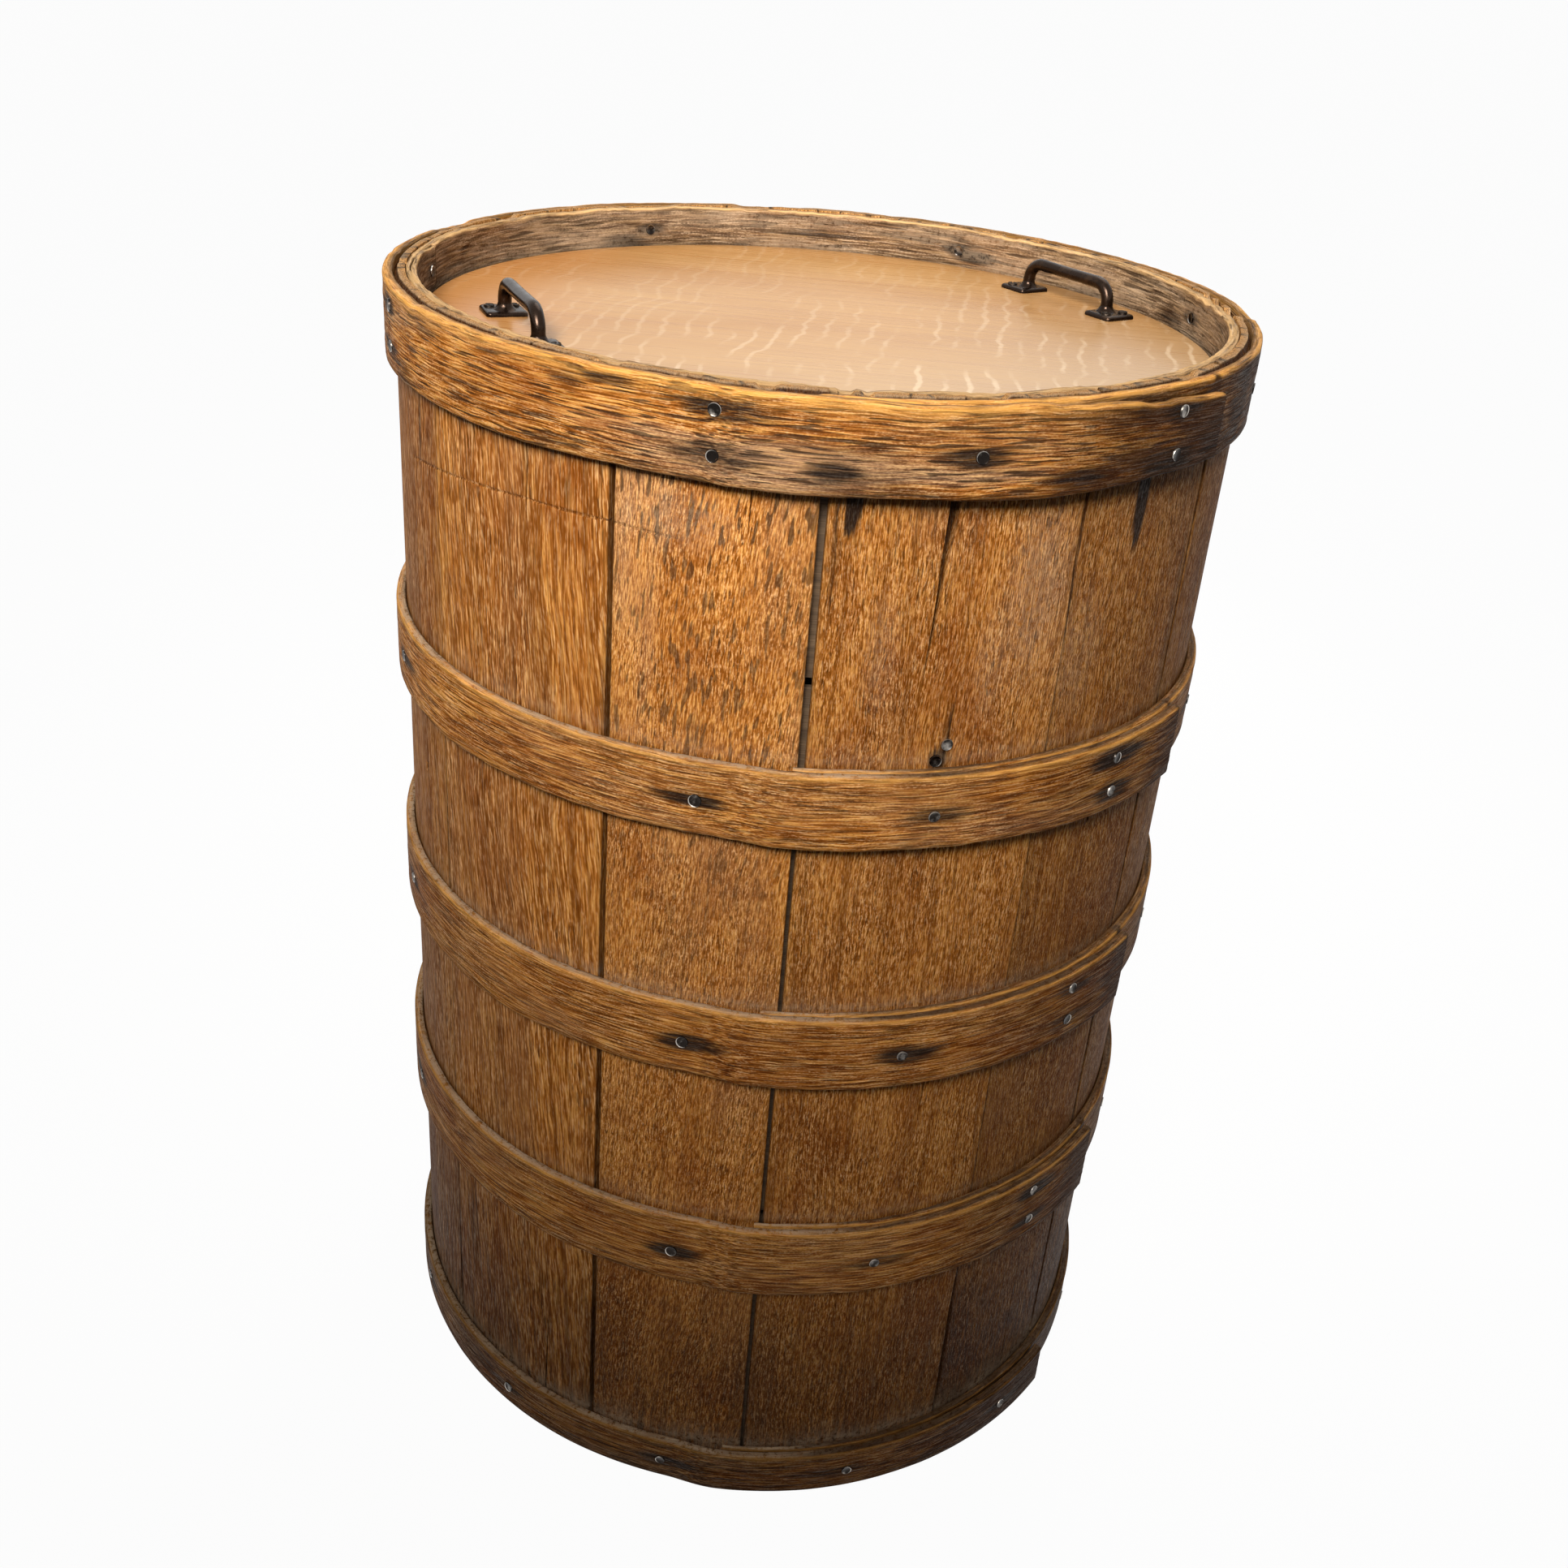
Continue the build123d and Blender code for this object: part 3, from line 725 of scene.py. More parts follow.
def mark_hoop_wear(piece, name, s):
    """Stores a hoop's grimy marks with painted shade, its dust, stains and worn edges."""
    _, height, _, _, dirt_and_low_shade, _ = HOOPS[name]
    seed = hoop_seed(name)
    uppermost = name == "top_hoop"
    below = height - s.up
    crown = eased((s.share - 0.93) / 0.07)
    ledge = eased(1.0 - below / 0.8)
    # Painted shade along each hoop's lower edge, and painted shadow of the outer layer's end on the strip
    # beside it; the outer layer also darkens towards its end
    feather_shadow = 0.9 * eased(1.0 - np.abs(s.turn - 359.6))
    grime = dirt_and_low_shade + 0.5 * np.exp(-s.up / 3.5) + (feather_shadow + 0.6 * eased(1.0 - s.turn / 0.9))[:, None]
    # Darker round the lap, which lies on the drum's right side: soiling of the lap and painted shade of that
    # side
    lap_dirt_and_side_shade = eased(1.0 - (np.abs(turn_between(s.azimuth, -25.0)) - 24.0) / 20.0) * (1.0 - crown)
    grime += (0.85 if uppermost else 0.4) * lap_dirt_and_side_shade
    grime += 0.5 * eased(1.0 - s.turn / 12.0)[:, None] * (1.0 - crown)
    # From just right of the front round to the right side, the lower hoops' top edge takes painted shade of
    # the gaps there instead of dust
    lapped = eased((turn_between(s.azimuth, -78.0) + 6.0) / 12.0)
    lapped *= np.abs(turn_between(s.azimuth, -30.0)) < 60.0
    if uppermost:
        smoke = eased(1.6 * ripple(s.along / 60.0, s.up / 9.0, seed + 8))
        grime += 0.4 * smoke * eased((s.azimuth % 360.0 - 240.0) / 20.0)
    else:
        grime += 0.8 * ledge * lapped
    dust = ledge * (1.0 - 0.85 * lapped) * (0.75 + 0.25 * wander(s.arc / 16.0, seed + 7))[:, None]
    dust = dust * (0.2 if uppermost else 1.0)
    worn = 1.2 * np.exp(-np.abs(below - 1.4) / (3.2 if uppermost else 1.3)) + 0.35 * np.exp(-s.up / 2.0)
    # The back, against the staves, is darkened most at the top: painted shade in the seam between the hoop's
    # top and the staves
    mark(
        piece, grime=wrapped(grime, 0.4 + 0.4 * crown), dust=wrapped(dust, dust),
        stain=wrapped(hoop_stains(name, s), 0.0), worn=wrapped(worn, worn))


def hoop(name):
    """One bent strip lapped over its own shaved end, with raised grain and worn edges."""
    seed = hoop_seed(name)
    s = hoop_grids(name)
    piece = lofted(f"bent_{name}", polar(s.face, s.azimuth, s.z), polar(s.back, s.azimuth, s.z))
    shift = np.random.default_rng(seed).uniform(-5.0, 5.0, 3)
    bend = s.up + 1.2 * ripple(s.along / 70.0, s.up / 14.0, seed + 10)
    bend += 0.6 * ripple(s.along / 24.0, s.up / 6.0, seed + 11)
    *_, figure, _, tone = HOOPS[name]
    mark(piece, grain=grain_of(s.along, bend, s.face, s.back, shift), tone=tone, figure=figure)
    mark_hoop_wear(piece, name, s)
    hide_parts(name)
    return piece


# Hoop inside the rim

def scarf_radius(turn):
    """Where the two layers of the scarf part, a turn in degrees back from the outside layer's tip."""
    shoulder = RIM_HOOP_BACK - SCARF_TIP - SCARF_GAP
    tip = RIM_HOOP_FACE + SCARF_TIP
    return shoulder + (tip - shoulder) * turn / SCARF_SWEEP


def rim_hoop_layers():
    """Azimuths along the rim hoop from outside tip to inside tip, with its inner and outer radius."""
    butt = math.degrees(SCARF_BUTT / RIM_HOOP_BACK)
    inside_tip, outside_tip = SCARF - SCARF_SWEEP, SCARF + 360.0
    outer_shoulder, inner_shoulder = SCARF + butt, inside_tip + 360.0 - butt
    step = 0.02
    azimuth = np.concatenate([
        np.linspace(inside_tip, outer_shoulder, SCARF_STATIONS),
        np.linspace(outer_shoulder + step, inner_shoulder - step, RIM_HOOP_STATIONS),
        np.linspace(inner_shoulder, outside_tip, SCARF_STATIONS)])[::-1]
    outer = np.where(azimuth > outer_shoulder, RIM_HOOP_BACK, scarf_radius(SCARF - azimuth))
    covered = scarf_radius(outside_tip - azimuth) + SCARF_GAP
    inner = np.where(azimuth < inner_shoulder, RIM_HOOP_FACE, covered)
    return azimuth, inner, outer


def rim_hoop():
    """The hoop inside the rim, its ends scarfed together at the left, with a chipped upper edge."""
    seed = 777
    azimuths, inner, outer = rim_hoop_layers()
    arc = np.radians(azimuths) * RIM_HOOP_FACE
    upper_edge = 0.7 * (1 + wander(arc / 33.0, seed + 4)) + 0.4 * (1 + wander(arc / 5.0, seed + 5))
    upper_edge += 0.2 * rim_chip(azimuths) + 2.2 * eased(1.0 - (azimuths - azimuths.min()) / 9.0)
    lower_edge = 0.5 * (1 + wander(arc / 40.0, seed + 6))
    height = RIM - RIM_HOOP_FOOT
    s = bent_strip(arc, azimuths, RIM_HOOP_FOOT, height, RIM_HOOP_ROUNDS, lower_edge, upper_edge)
    thin = np.clip((outer - inner) / (RIM_HOOP_BACK - RIM_HOOP_FACE), 0.05, 1.0)[:, None]
    ridge = 0.1 * (1 + ripple(s.along / 30.0, s.up / 1.8, seed))
    ridge += 0.16 * (1 + ripple(s.along / 70.0, s.up / 6.0, seed + 1))
    inside = inner[:, None] + (ridge + 0.8 * s.fall) * thin
    outside = outer[:, None] - 0.4 * s.fall * thin
    piece = lofted("scarfed_rim_hoop", polar(outside, s.azimuth, s.z), polar(inside, s.azimuth, s.z))
    marks = [(a, h, 16.0, 6.0, 0.9) for a, h, _ in nail_seats("rim_inner_hoop_nails", False)]
    stains = spots(s.azimuth, s.z, marks + list(RIM_HOOP_MARKS), RIM_HOOP_FACE)
    crown = eased((s.share - 0.93) / 0.05)
    # Painted shade low on the rim hoop's inner face, in the corner above the lid, with a little soiling below
    # its top
    grime = 0.1 * (1.0 - crown) + 0.3 * np.exp(-(s.up - 6.0).clip(0.0) / 2.5)
    dust = 0.3 * (1.0 - crown) * eased(ripple(s.along / 40.0, s.up / 8.0, seed + 2) + 0.4)
    grain = grain_of(s.along, s.up, outside, inside, (2.1, -3.3, 0.7))
    mark(piece, grain=grain, tone=-0.05, figure=0.8, worn=wrapped(crown, crown))
    mark(piece, grime=wrapped(0.3, grime), dust=wrapped(0.0, dust), stain=wrapped(0.0, stains))
    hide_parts("rim_inner_hoop")
    return piece


# Lid and pulls

def lid():
    """The flat round lid with its eased edge."""
    profile = [(r, LID_TOP) for r in (0.0, 40.0, 90.0, 140.0, 190.0, 230.0, 255.0)]
    for step in range(6):
        angle = step * math.pi / 10.0
        out, up = LID_ROUND * math.sin(angle), LID_ROUND * math.cos(angle)
        profile.append((LID_RADIUS - LID_ROUND + out, LID_TOP - LID_ROUND + up))
    profile.append((LID_RADIUS, LID_FOOT + LID_CHAMFER))
    profile += [(r, LID_FOOT) for r in (LID_RADIUS - LID_CHAMFER, 200.0, 100.0, 0.0)]
    piece = turned("oak_lid", profile, LID_SEGMENTS)
    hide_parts("lid")
    return piece


def bow_line():
    """Middle line of half a pull's bow from its foot to the middle, with its lean and half widths."""
    bar_z = PULL_RISE - BOW_BAR
    bend_z = bar_z - BOW_BEND
    stations = []
    for z in np.linspace(POST_FOOT, bend_z, 9):
        flare = ((bend_z - z) / (bend_z - POST_FOOT)) ** 2.4
        stations.append((POST_X, z, 0.0, BOW_BAR + 4.2 * flare, BOW_WIDTH + 4.6 * flare))
    for step in range(1, 11):
        lean = 9.0 * step
        angle = math.radians(lean)
        x = POST_X - BOW_BEND + BOW_BEND * math.cos(angle)
        stations.append((x, bend_z + BOW_BEND * math.sin(angle), lean, BOW_BAR, BOW_WIDTH))
    for step in range(1, 9):
        share = step / 8.0
        x = (POST_X - BOW_BEND) * (1 - share)
        stations.append((x, bar_z, 90.0, BOW_BAR - 0.3 * share, BOW_WIDTH + 0.2 * share))
    return stations


def foot_loop(centre_x, z, inset):
    """One level of a pull's foot: an oblong with round corners."""
    corner = max(FOOT_CORNER - 0.4 * inset, 1.0)
    reach_x = FOOT_LENGTH / 2 - inset - corner
    reach_y = FOOT_WIDTH / 2 - inset - corner
    loop = []
    for sign_x, sign_y, start in ((1, 1, 0), (-1, 1, 90), (-1, -1, 180), (1, -1, 270)):
        for step in range(5):
            angle = math.radians(start + 22.5 * step)
            x = sign_x * reach_x + corner * math.cos(angle)
            y = sign_y * reach_y + corner * math.sin(angle)
            loop.append((centre_x + x, y, z))
    return loop


def pull_matrix(side):
    """Place of a pull on the lid, in millimetres."""
    azimuth, ring = PULL_PLACES[side]
    place = Vector(polar(ring, azimuth, LID_TOP).tolist())
    return Matrix.Translation(place) @ Matrix.Rotation(math.radians(azimuth - 90.0), 4, "Z")


def pull(side):
    """A cast bow pull: a bow swept between two flared posts on plate feet with sloped edges."""
    half = bow_line()
    stations = half + [(-x, z, 180.0 - angle, a, b) for x, z, angle, a, b in reversed(half[:-1])]
    vertices = []
    for x, z, angle, in_plane, across in stations:
        lean = math.radians(angle)
        for step in range(BOW_RING):
            around = 2.0 * math.pi * step / BOW_RING
            out = in_plane * math.cos(around)
            vertices.append((x + out * math.cos(lean), across * math.sin(around), z + out * math.sin(lean)))
    faces = tube_faces(0, len(stations), BOW_RING)
    for centre_x in (-PULL_SPAN / 2, PULL_SPAN / 2):
        loops = [foot_loop(centre_x, z, inset) for z, inset in FOOT_LAYERS]
        faces.extend(tube_faces(len(vertices), len(loops), len(loops[0])))
        vertices.extend(point for loop in loops for point in loop)
    place = pull_matrix(side)
    piece = put(f"{side}_bow_pull", [place @ Vector(v) for v in vertices], faces, CAST_SHARP)
    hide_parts(f"{side}_pull")
    return piece


# Node trees

class NodeTree:
    """A node tree and the ways in which its nodes are made."""

    def __init__(self, tree):
        self.tree = tree

    def feed(self, socket, given):
        """Links another node's output to a socket, or sets the socket's value."""
        if isinstance(given, bpy.types.NodeSocket):
            self.tree.links.new(given, socket)
        else:
            socket.default_value = given

    def node(self, kind, inputs=None, **settings):
        """A new node with its settings and its inputs."""
        made = self.tree.nodes.new(kind)
        for key, value in settings.items():
            setattr(made, key, value)
        for key, given in (inputs or {}).items():
            self.feed(made.inputs[key], given)
        return made

    def made(self, kind, inputs=None, output=0, **settings):
        """An output of a new node."""
        return self.node(kind, inputs, **settings).outputs[output]

    def maths(self, operation, first, second=0.0):
        return self.made("ShaderNodeMath", {0: first, 1: second}, operation=operation)

    def times(self, first, second):
        return self.maths("MULTIPLY", first, second)

    def plus(self, first, second):
        return self.maths("ADD", first, second)

    def minus(self, first, second):
        return self.maths("SUBTRACT", first, second)

    def combined(self, x=0.0, y=0.0, z=0.0):
        return self.made("ShaderNodeCombineXYZ", {0: x, 1: y, 2: z})

    def separated(self, vector):
        return self.node("ShaderNodeSeparateXYZ", {0: vector}).outputs

    def seen(self):
        """1 for rays from the camera, off glossy faces and through clear ones, else 0."""
        path = self.node("ShaderNodeLightPath").outputs
        other = self.maths("MAXIMUM", path["Is Glossy Ray"], path["Is Transmission Ray"])
        return self.maths("MAXIMUM", path["Is Camera Ray"], other)


# Nails and screws

FASTENER_SOCKETS = (
    ("Seats", "INPUT", "NodeSocketGeometry"),
    ("Head radius", "INPUT", "NodeSocketFloat"),
    ("Head height", "INPUT", "NodeSocketFloat"),
    ("Tilt", "INPUT", "NodeSocketFloat"),
    ("Seed", "INPUT", "NodeSocketInt"),
    ("Finish", "INPUT", "NodeSocketMaterial"),
    ("Fasteners", "OUTPUT", "NodeSocketGeometry"),
)


def raised(t, geometry, z):
    """A geometry moved up."""
    return t.made("GeometryNodeTransform", {"Geometry": geometry, "Translation": t.combined(z=z)})


def joined(t, parts):
    """Several geometries as one."""
    join = t.node("GeometryNodeJoinGeometry")
    for part in parts:
        t.tree.links.new(part, join.inputs[0])
    return join.outputs[0]


def dished_head(t, radius, height):
    """A head with a sloped wall, a dished face and a flat underside, with a painted highlight crescent on one
    side.
    """
    lip, dish_radius = t.times(radius, HEAD_LIP), t.times(radius, HEAD_DISH)
    floor_z = t.times(height, DISH_FLOOR)
    wall = t.made("GeometryNodeMeshCone", {
        "Vertices": HEAD_SIDES, "Radius Top": lip, "Radius Bottom": radius,
        "Depth": height}, fill_type="NONE")
    dish = t.made("GeometryNodeMeshCone", {
        "Vertices": HEAD_SIDES, "Radius Top": lip, "Radius Bottom": dish_radius,
        "Depth": t.times(height, 1.0 - DISH_FLOOR)}, fill_type="NONE")
    dish = raised(t, t.made("GeometryNodeFlipFaces", {"Mesh": dish}), floor_z)
    side = t.separated(t.made("GeometryNodeInputPosition"))[0]
    # Painted highlight: one side of each head's wall and dish is marked for the bright colour
    crescent = t.made("ShaderNodeMapRange", {
        "Value": side, "From Min": t.times(radius, -1.0), "From Max": radius, "To Min": 0.5, "To Max": 1.1})
    parts = []
    for part in (wall, dish):
        crescent_highlight = {"Geometry": part, "Name": "crescent_highlight", "Value": crescent}
        parts.append(t.made("GeometryNodeStoreNamedAttribute", crescent_highlight))
    floor_disc = {"Vertices": HEAD_SIDES, "Radius": dish_radius}
    parts.append(raised(t, t.made("GeometryNodeMeshCircle", floor_disc, fill_type="TRIANGLE_FAN"), floor_z))
    underside = t.made("GeometryNodeMeshCircle", {"Vertices": HEAD_SIDES, "Radius": radius}, fill_type="NGON")
    parts.append(t.made("GeometryNodeFlipFaces", {"Mesh": underside}))
    return t.made("GeometryNodeMergeByDistance", {"Geometry": joined(t, parts), "Distance": 0.01 * MM})


def screw_slot(t, body, radius, height):
    """A body with a slot cut across its head."""
    size = t.combined(t.times(radius, 2.4), t.times(radius, 0.3), t.times(height, 1.1))
    slot = raised(t, t.made("GeometryNodeMeshCube", {"Size": size}), height)
    cut = t.node("GeometryNodeMeshBoolean", {"Mesh 1": body}, operation="DIFFERENCE", solver="EXACT")
    t.tree.links.new(slot, cut.inputs["Mesh 2"])
    return cut.outputs["Mesh"]


def fastener_turn(t, tilt, seed):
    """How each fastener is turned: the way its seat faces, spun about it and a little tilted."""
    name = {"Name": "facing"}
    facing = t.made("GeometryNodeInputNamedAttribute", name, "Attribute", data_type="FLOAT_VECTOR")
    aim = t.made("FunctionNodeAlignRotationToVector", {"Vector": facing}, axis="Z")
    back = t.times(tilt, -1.0)
    limits = {0: t.combined(back, back, -3.1), 1: t.combined(tilt, tilt, 3.1), "Seed": seed}
    lean = t.made("FunctionNodeRandomValue", limits, data_type="FLOAT_VECTOR")
    spin = t.made("FunctionNodeEulerToRotation", {0: lean})
    return t.made("FunctionNodeRotateRotation", {0: aim, 1: spin}, rotation_space="LOCAL")


def fastener_tree(name, slotted):
    """A tree that sets a fastener on every seat: a headed nail, or a slotted screw."""
    t = NodeTree(bpy.data.node_groups.new(name, "GeometryNodeTree"))
    for label, way, kind in FASTENER_SOCKETS:
        t.tree.interface.new_socket(label, in_out=way, socket_type=kind)
    given = t.node("NodeGroupInput").outputs
    radius, height, seed = given["Head radius"], given["Head height"], given["Seed"]
    shank = t.made("GeometryNodeMeshCylinder", {
        "Vertices": SHANK_SIDES, "Radius": t.times(radius, 0.36), "Depth": t.times(height, 5.0)})
    body = joined(t, (dished_head(t, radius, height), raised(t, shank, t.times(height, -2.4))))
    if slotted:
        body = screw_slot(t, body, radius, height)
    grow = t.made("FunctionNodeRandomValue", {2: 0.86, 3: 1.1, "Seed": seed}, 1, data_type="FLOAT")
    sown = t.made("GeometryNodeInstanceOnPoints", {
        "Points": given["Seats"], "Instance": body, "Rotation": fastener_turn(t, given["Tilt"], seed),
        "Scale": grow})
    real = t.made("GeometryNodeRealizeInstances", {0: sown})
    finished = t.made("GeometryNodeSetMaterial", {"Geometry": real, "Material": given["Finish"]})
    t.node("NodeGroupOutput", {"Fasteners": finished})
    return t.tree


def fasteners(name, tree, seats, settings):
    """Runs a fastener tree on seats, each a place in millimetres and a facing, and keeps a plain mesh."""
    mesh = bpy.data.meshes.new(f"{name}_seats")
    mesh.from_pydata([tuple(np.array(place) * MM) for place, _ in seats], [], [])
    points = linked(f"{name}_seats", mesh)
    mark(points, facing=[facing for _, facing in seats])
    modifier = points.modifiers.new("fasteners", "NODES")
    modifier.node_group = tree
    for item in tree.interface.items_tree:
        if item.in_out == "INPUT" and item.name in settings:
            modifier[item.identifier] = settings[item.name]
    evaluated = points.evaluated_get(bpy.context.evaluated_depsgraph_get())
    heads = bpy.data.meshes.new_from_object(evaluated)
    points.modifiers.clear()
    bpy.data.objects.remove(points)
    heads.name = name
    heads.set_sharp_from_angle(angle=math.radians(HEAD_SHARP))
    return linked(name, heads)


def nails(node, tree, iron):
    """The headed nails of one CAD node."""
    outwards = node != "rim_inner_hoop_nails"
    way = 1.0 if outwards else -1.0
    seats = []
    for azimuth, z, radius in nail_seats(node, outwards):
        seats.append((polar(radius - way * NAIL_SINK, azimuth, z), polar(way, azimuth, 0.0)))
    piece = fasteners(f"headed_{node}", tree, seats, {
        "Head radius": NAIL_RADIUS * MM, "Head height": NAIL_HEIGHT * MM, "Tilt": NAIL_TILT,
        "Seed": NAIL_SEED, "Finish": iron})
    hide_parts(node)
    return piece


def screws(side, tree, steel):
    """The four slotted screws of one pull."""
    place = pull_matrix(side)
    corners = [(x, y) for x in (-SCREW_X, SCREW_X) for y in (-SCREW_Y, SCREW_Y)]
    seats = [(place @ Vector((x, y, SCREW_SEAT)), (0.0, 0.0, 1.0)) for x, y in corners]
    piece = fasteners(f"{side}_slotted_screws", tree, seats, {
        "Head radius": SCREW_RADIUS * MM, "Head height": SCREW_HEIGHT * MM, "Tilt": 0.0,
        "Seed": SCREW_SEED, "Finish": steel})
    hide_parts(f"{side}_pull_screws")
    return piece


# Finishes

def tint(code):
    """A colour written as six hexadecimal digits, as the linear values that shaders take."""
    values = [int(code[i:i + 2], 16) / 255.0 for i in (0, 2, 4)]
    return tuple(v / 12.92 if v <= 0.04045 else ((v + 0.055) / 1.055) ** 2.4 for v in values) + (1.0,)


def grey(level):
    """A grey of one linear level."""
    return (level, level, level, 1.0)


class Finish(NodeTree):
    """A material and the nodes that make it."""

    def __init__(self, name):
        self.material = bpy.data.materials.new(name)
        self.material.use_nodes = True
        super().__init__(self.material.node_tree)
        self.shader = self.tree.nodes["Principled BSDF"]

    def value(self, name):
        return self.made("ShaderNodeAttribute", None, "Fac", attribute_name=name)

    def vector(self, name):
        return self.made("ShaderNodeAttribute", None, "Vector", attribute_name=name)

    def place(self):
        return self.made("ShaderNodeTexCoord", None, "Object")

    def noise(self, vector, scale, detail=2.0, roughness=0.5, distortion=0.0):
        """Noise with so many swings to a metre along each axis."""
        drawn = self.made("ShaderNodeMapping", {"Vector": vector, "Scale": scale})
        return self.made("ShaderNodeTexNoise", {
            "Vector": drawn, "Scale": 1.0, "Detail": detail, "Roughness": roughness,
            "Distortion": distortion})

    def spread(self, value, low, high, bottom=0.0, top=1.0):
        """A smooth step from one level to another as a value goes from low to high."""
        inputs = {"Value": value, "From Min": low, "From Max": high, "To Min": bottom, "To Max": top}
        return self.made("ShaderNodeMapRange", inputs, interpolation_type="SMOOTHSTEP")

    def ramp(self, value, stops):
        made = self.node("ShaderNodeValToRGB", {0: value})
        while len(made.color_ramp.elements) < len(stops):
            made.color_ramp.elements.new(0.5)
        for element, (place, code) in zip(made.color_ramp.elements, stops):
            element.position = place
            element.color = tint(code)
        return made.outputs[0]

    def mix(self, share, first, second, blend="MIX"):
        """One colour laid over another. Colours are outputs, linear values or hexadecimal digits."""
        first, second = [tint(c) if isinstance(c, str) else c for c in (first, second)]
        inputs = {0: share, 6: first, 7: second}
        return self.made("ShaderNodeMix", inputs, 2, data_type="RGBA", blend_type=blend)

    def bump(self, height, distance, strength):
        return self.made("ShaderNodeBump", {"Height": height, "Distance": distance, "Strength": strength})

    def wire(self, **sockets):
        for name, given in sockets.items():
            self.feed(self.shader.inputs[name.replace("_", " ")], given)
        return self.material


class Oak(Finish):
    """Wood read along the grain that its piece carries."""

    def __init__(self, name):
        super().__init__(name)
        self.grain = self.vector("grain")

    def grained(self, run, across, detail, roughness=0.6, distortion=0.0):
        """Noise with so many swings to a metre along the grain and across it."""
        return self.noise(self.grain, (run, across, across), detail, roughness, distortion)

    def threads(self, value, width):
        """Thin lines where a noise crosses its middle."""
        return self.spread(self.maths("ABSOLUTE", self.minus(value, 0.5)), 0.0, width, 1.0, 0.0)


def faded_lines(f, fine, deep, middle, pale, greying, figure):
    """The colour of the grain's lines, clouded, bleached and faded in patches."""
    broad = f.grained(6.0, 60.0, 2.0, 0.5, 0.5)
    lines = f.plus(f.times(fine, 0.8), f.times(broad, 0.2))
    colour = f.ramp(lines, ((0.4, deep), (0.5, middle), (0.6, pale)))
    cloud = f.spread(f.grained(9.0, 20.0, 3.0, 0.6, 0.4), 0.42, 0.7)
    colour = f.mix(f.times(cloud, 0.9), colour, (0.6, 0.48, 0.42, 1.0), "MULTIPLY")
    bleach = f.times(f.spread(f.grained(6.0, 26.0, 2.0, 0.5, 0.3), 0.48, 0.7), greying)
    colour = f.mix(f.times(bleach, f.times(figure, figure)), colour, "a8937a")
    faded = f.spread(f.grained(5.0, 15.0, 2.0, 0.5, 0.4), 0.5, 0.66)
    return f.mix(f.times(faded, 0.34), colour, "8f6642")


def worn_grimy_and_shaded(f, colour, bare):
    """Bare wood at worn edges, and dark soiling and painted shade in the corners, low down and at the drum's
    sides.
    """
    ragged = f.grained(45.0, 380.0, 3.0, 0.65)
    worn = f.times(f.value("worn"), f.spread(ragged, 0.3, 0.6))
    colour = f.mix(f.times(worn, 0.75), colour, bare)
    # The dark colour here is soiling and painted shade together, as each piece's layer gives them
    grime = f.times(f.value("grime"), f.spread(ragged, 0.2, 0.75, 0.6, 1.2))
    return f.mix(f.maths("MINIMUM", grime, 0.93), colour, "26140a")


def iron_stained(f, colour):
    """Black stain that follows the grain, in a brown halo."""
    strength = f.value("stain")
    colour = f.mix(f.spread(strength, 0.0, 0.8, 0.0, 0.4), colour, "4b3019")
    streaks = f.times(f.minus(f.grained(12.0, 420.0, 4.0, 0.7, 0.3), 0.5), 2.0)
    stain = f.spread(f.plus(strength, streaks), 0.2, 0.95)
    stain = f.times(stain, f.spread(strength, 0.02, 0.3))
    return f.mix(f.times(stain, 0.93), colour, "171311")


def end_grained(f, colour, fibres):
    """Pale, cracked wood at the staves' sawn heads."""
    ends = f.value("ends")
    sawn = f.mix(f.spread(fibres, 0.35, 0.65), "6b4c2b", "b0844e")
    colour = f.mix(f.times(ends, 0.8), colour, sawn)
    cracks = f.times(f.threads(f.noise(f.grain, (0.0, 34.0, 8.0), 1.0), 0.03), 0.95)
    return f.mix(f.times(cracks, ends), colour, "170e07")


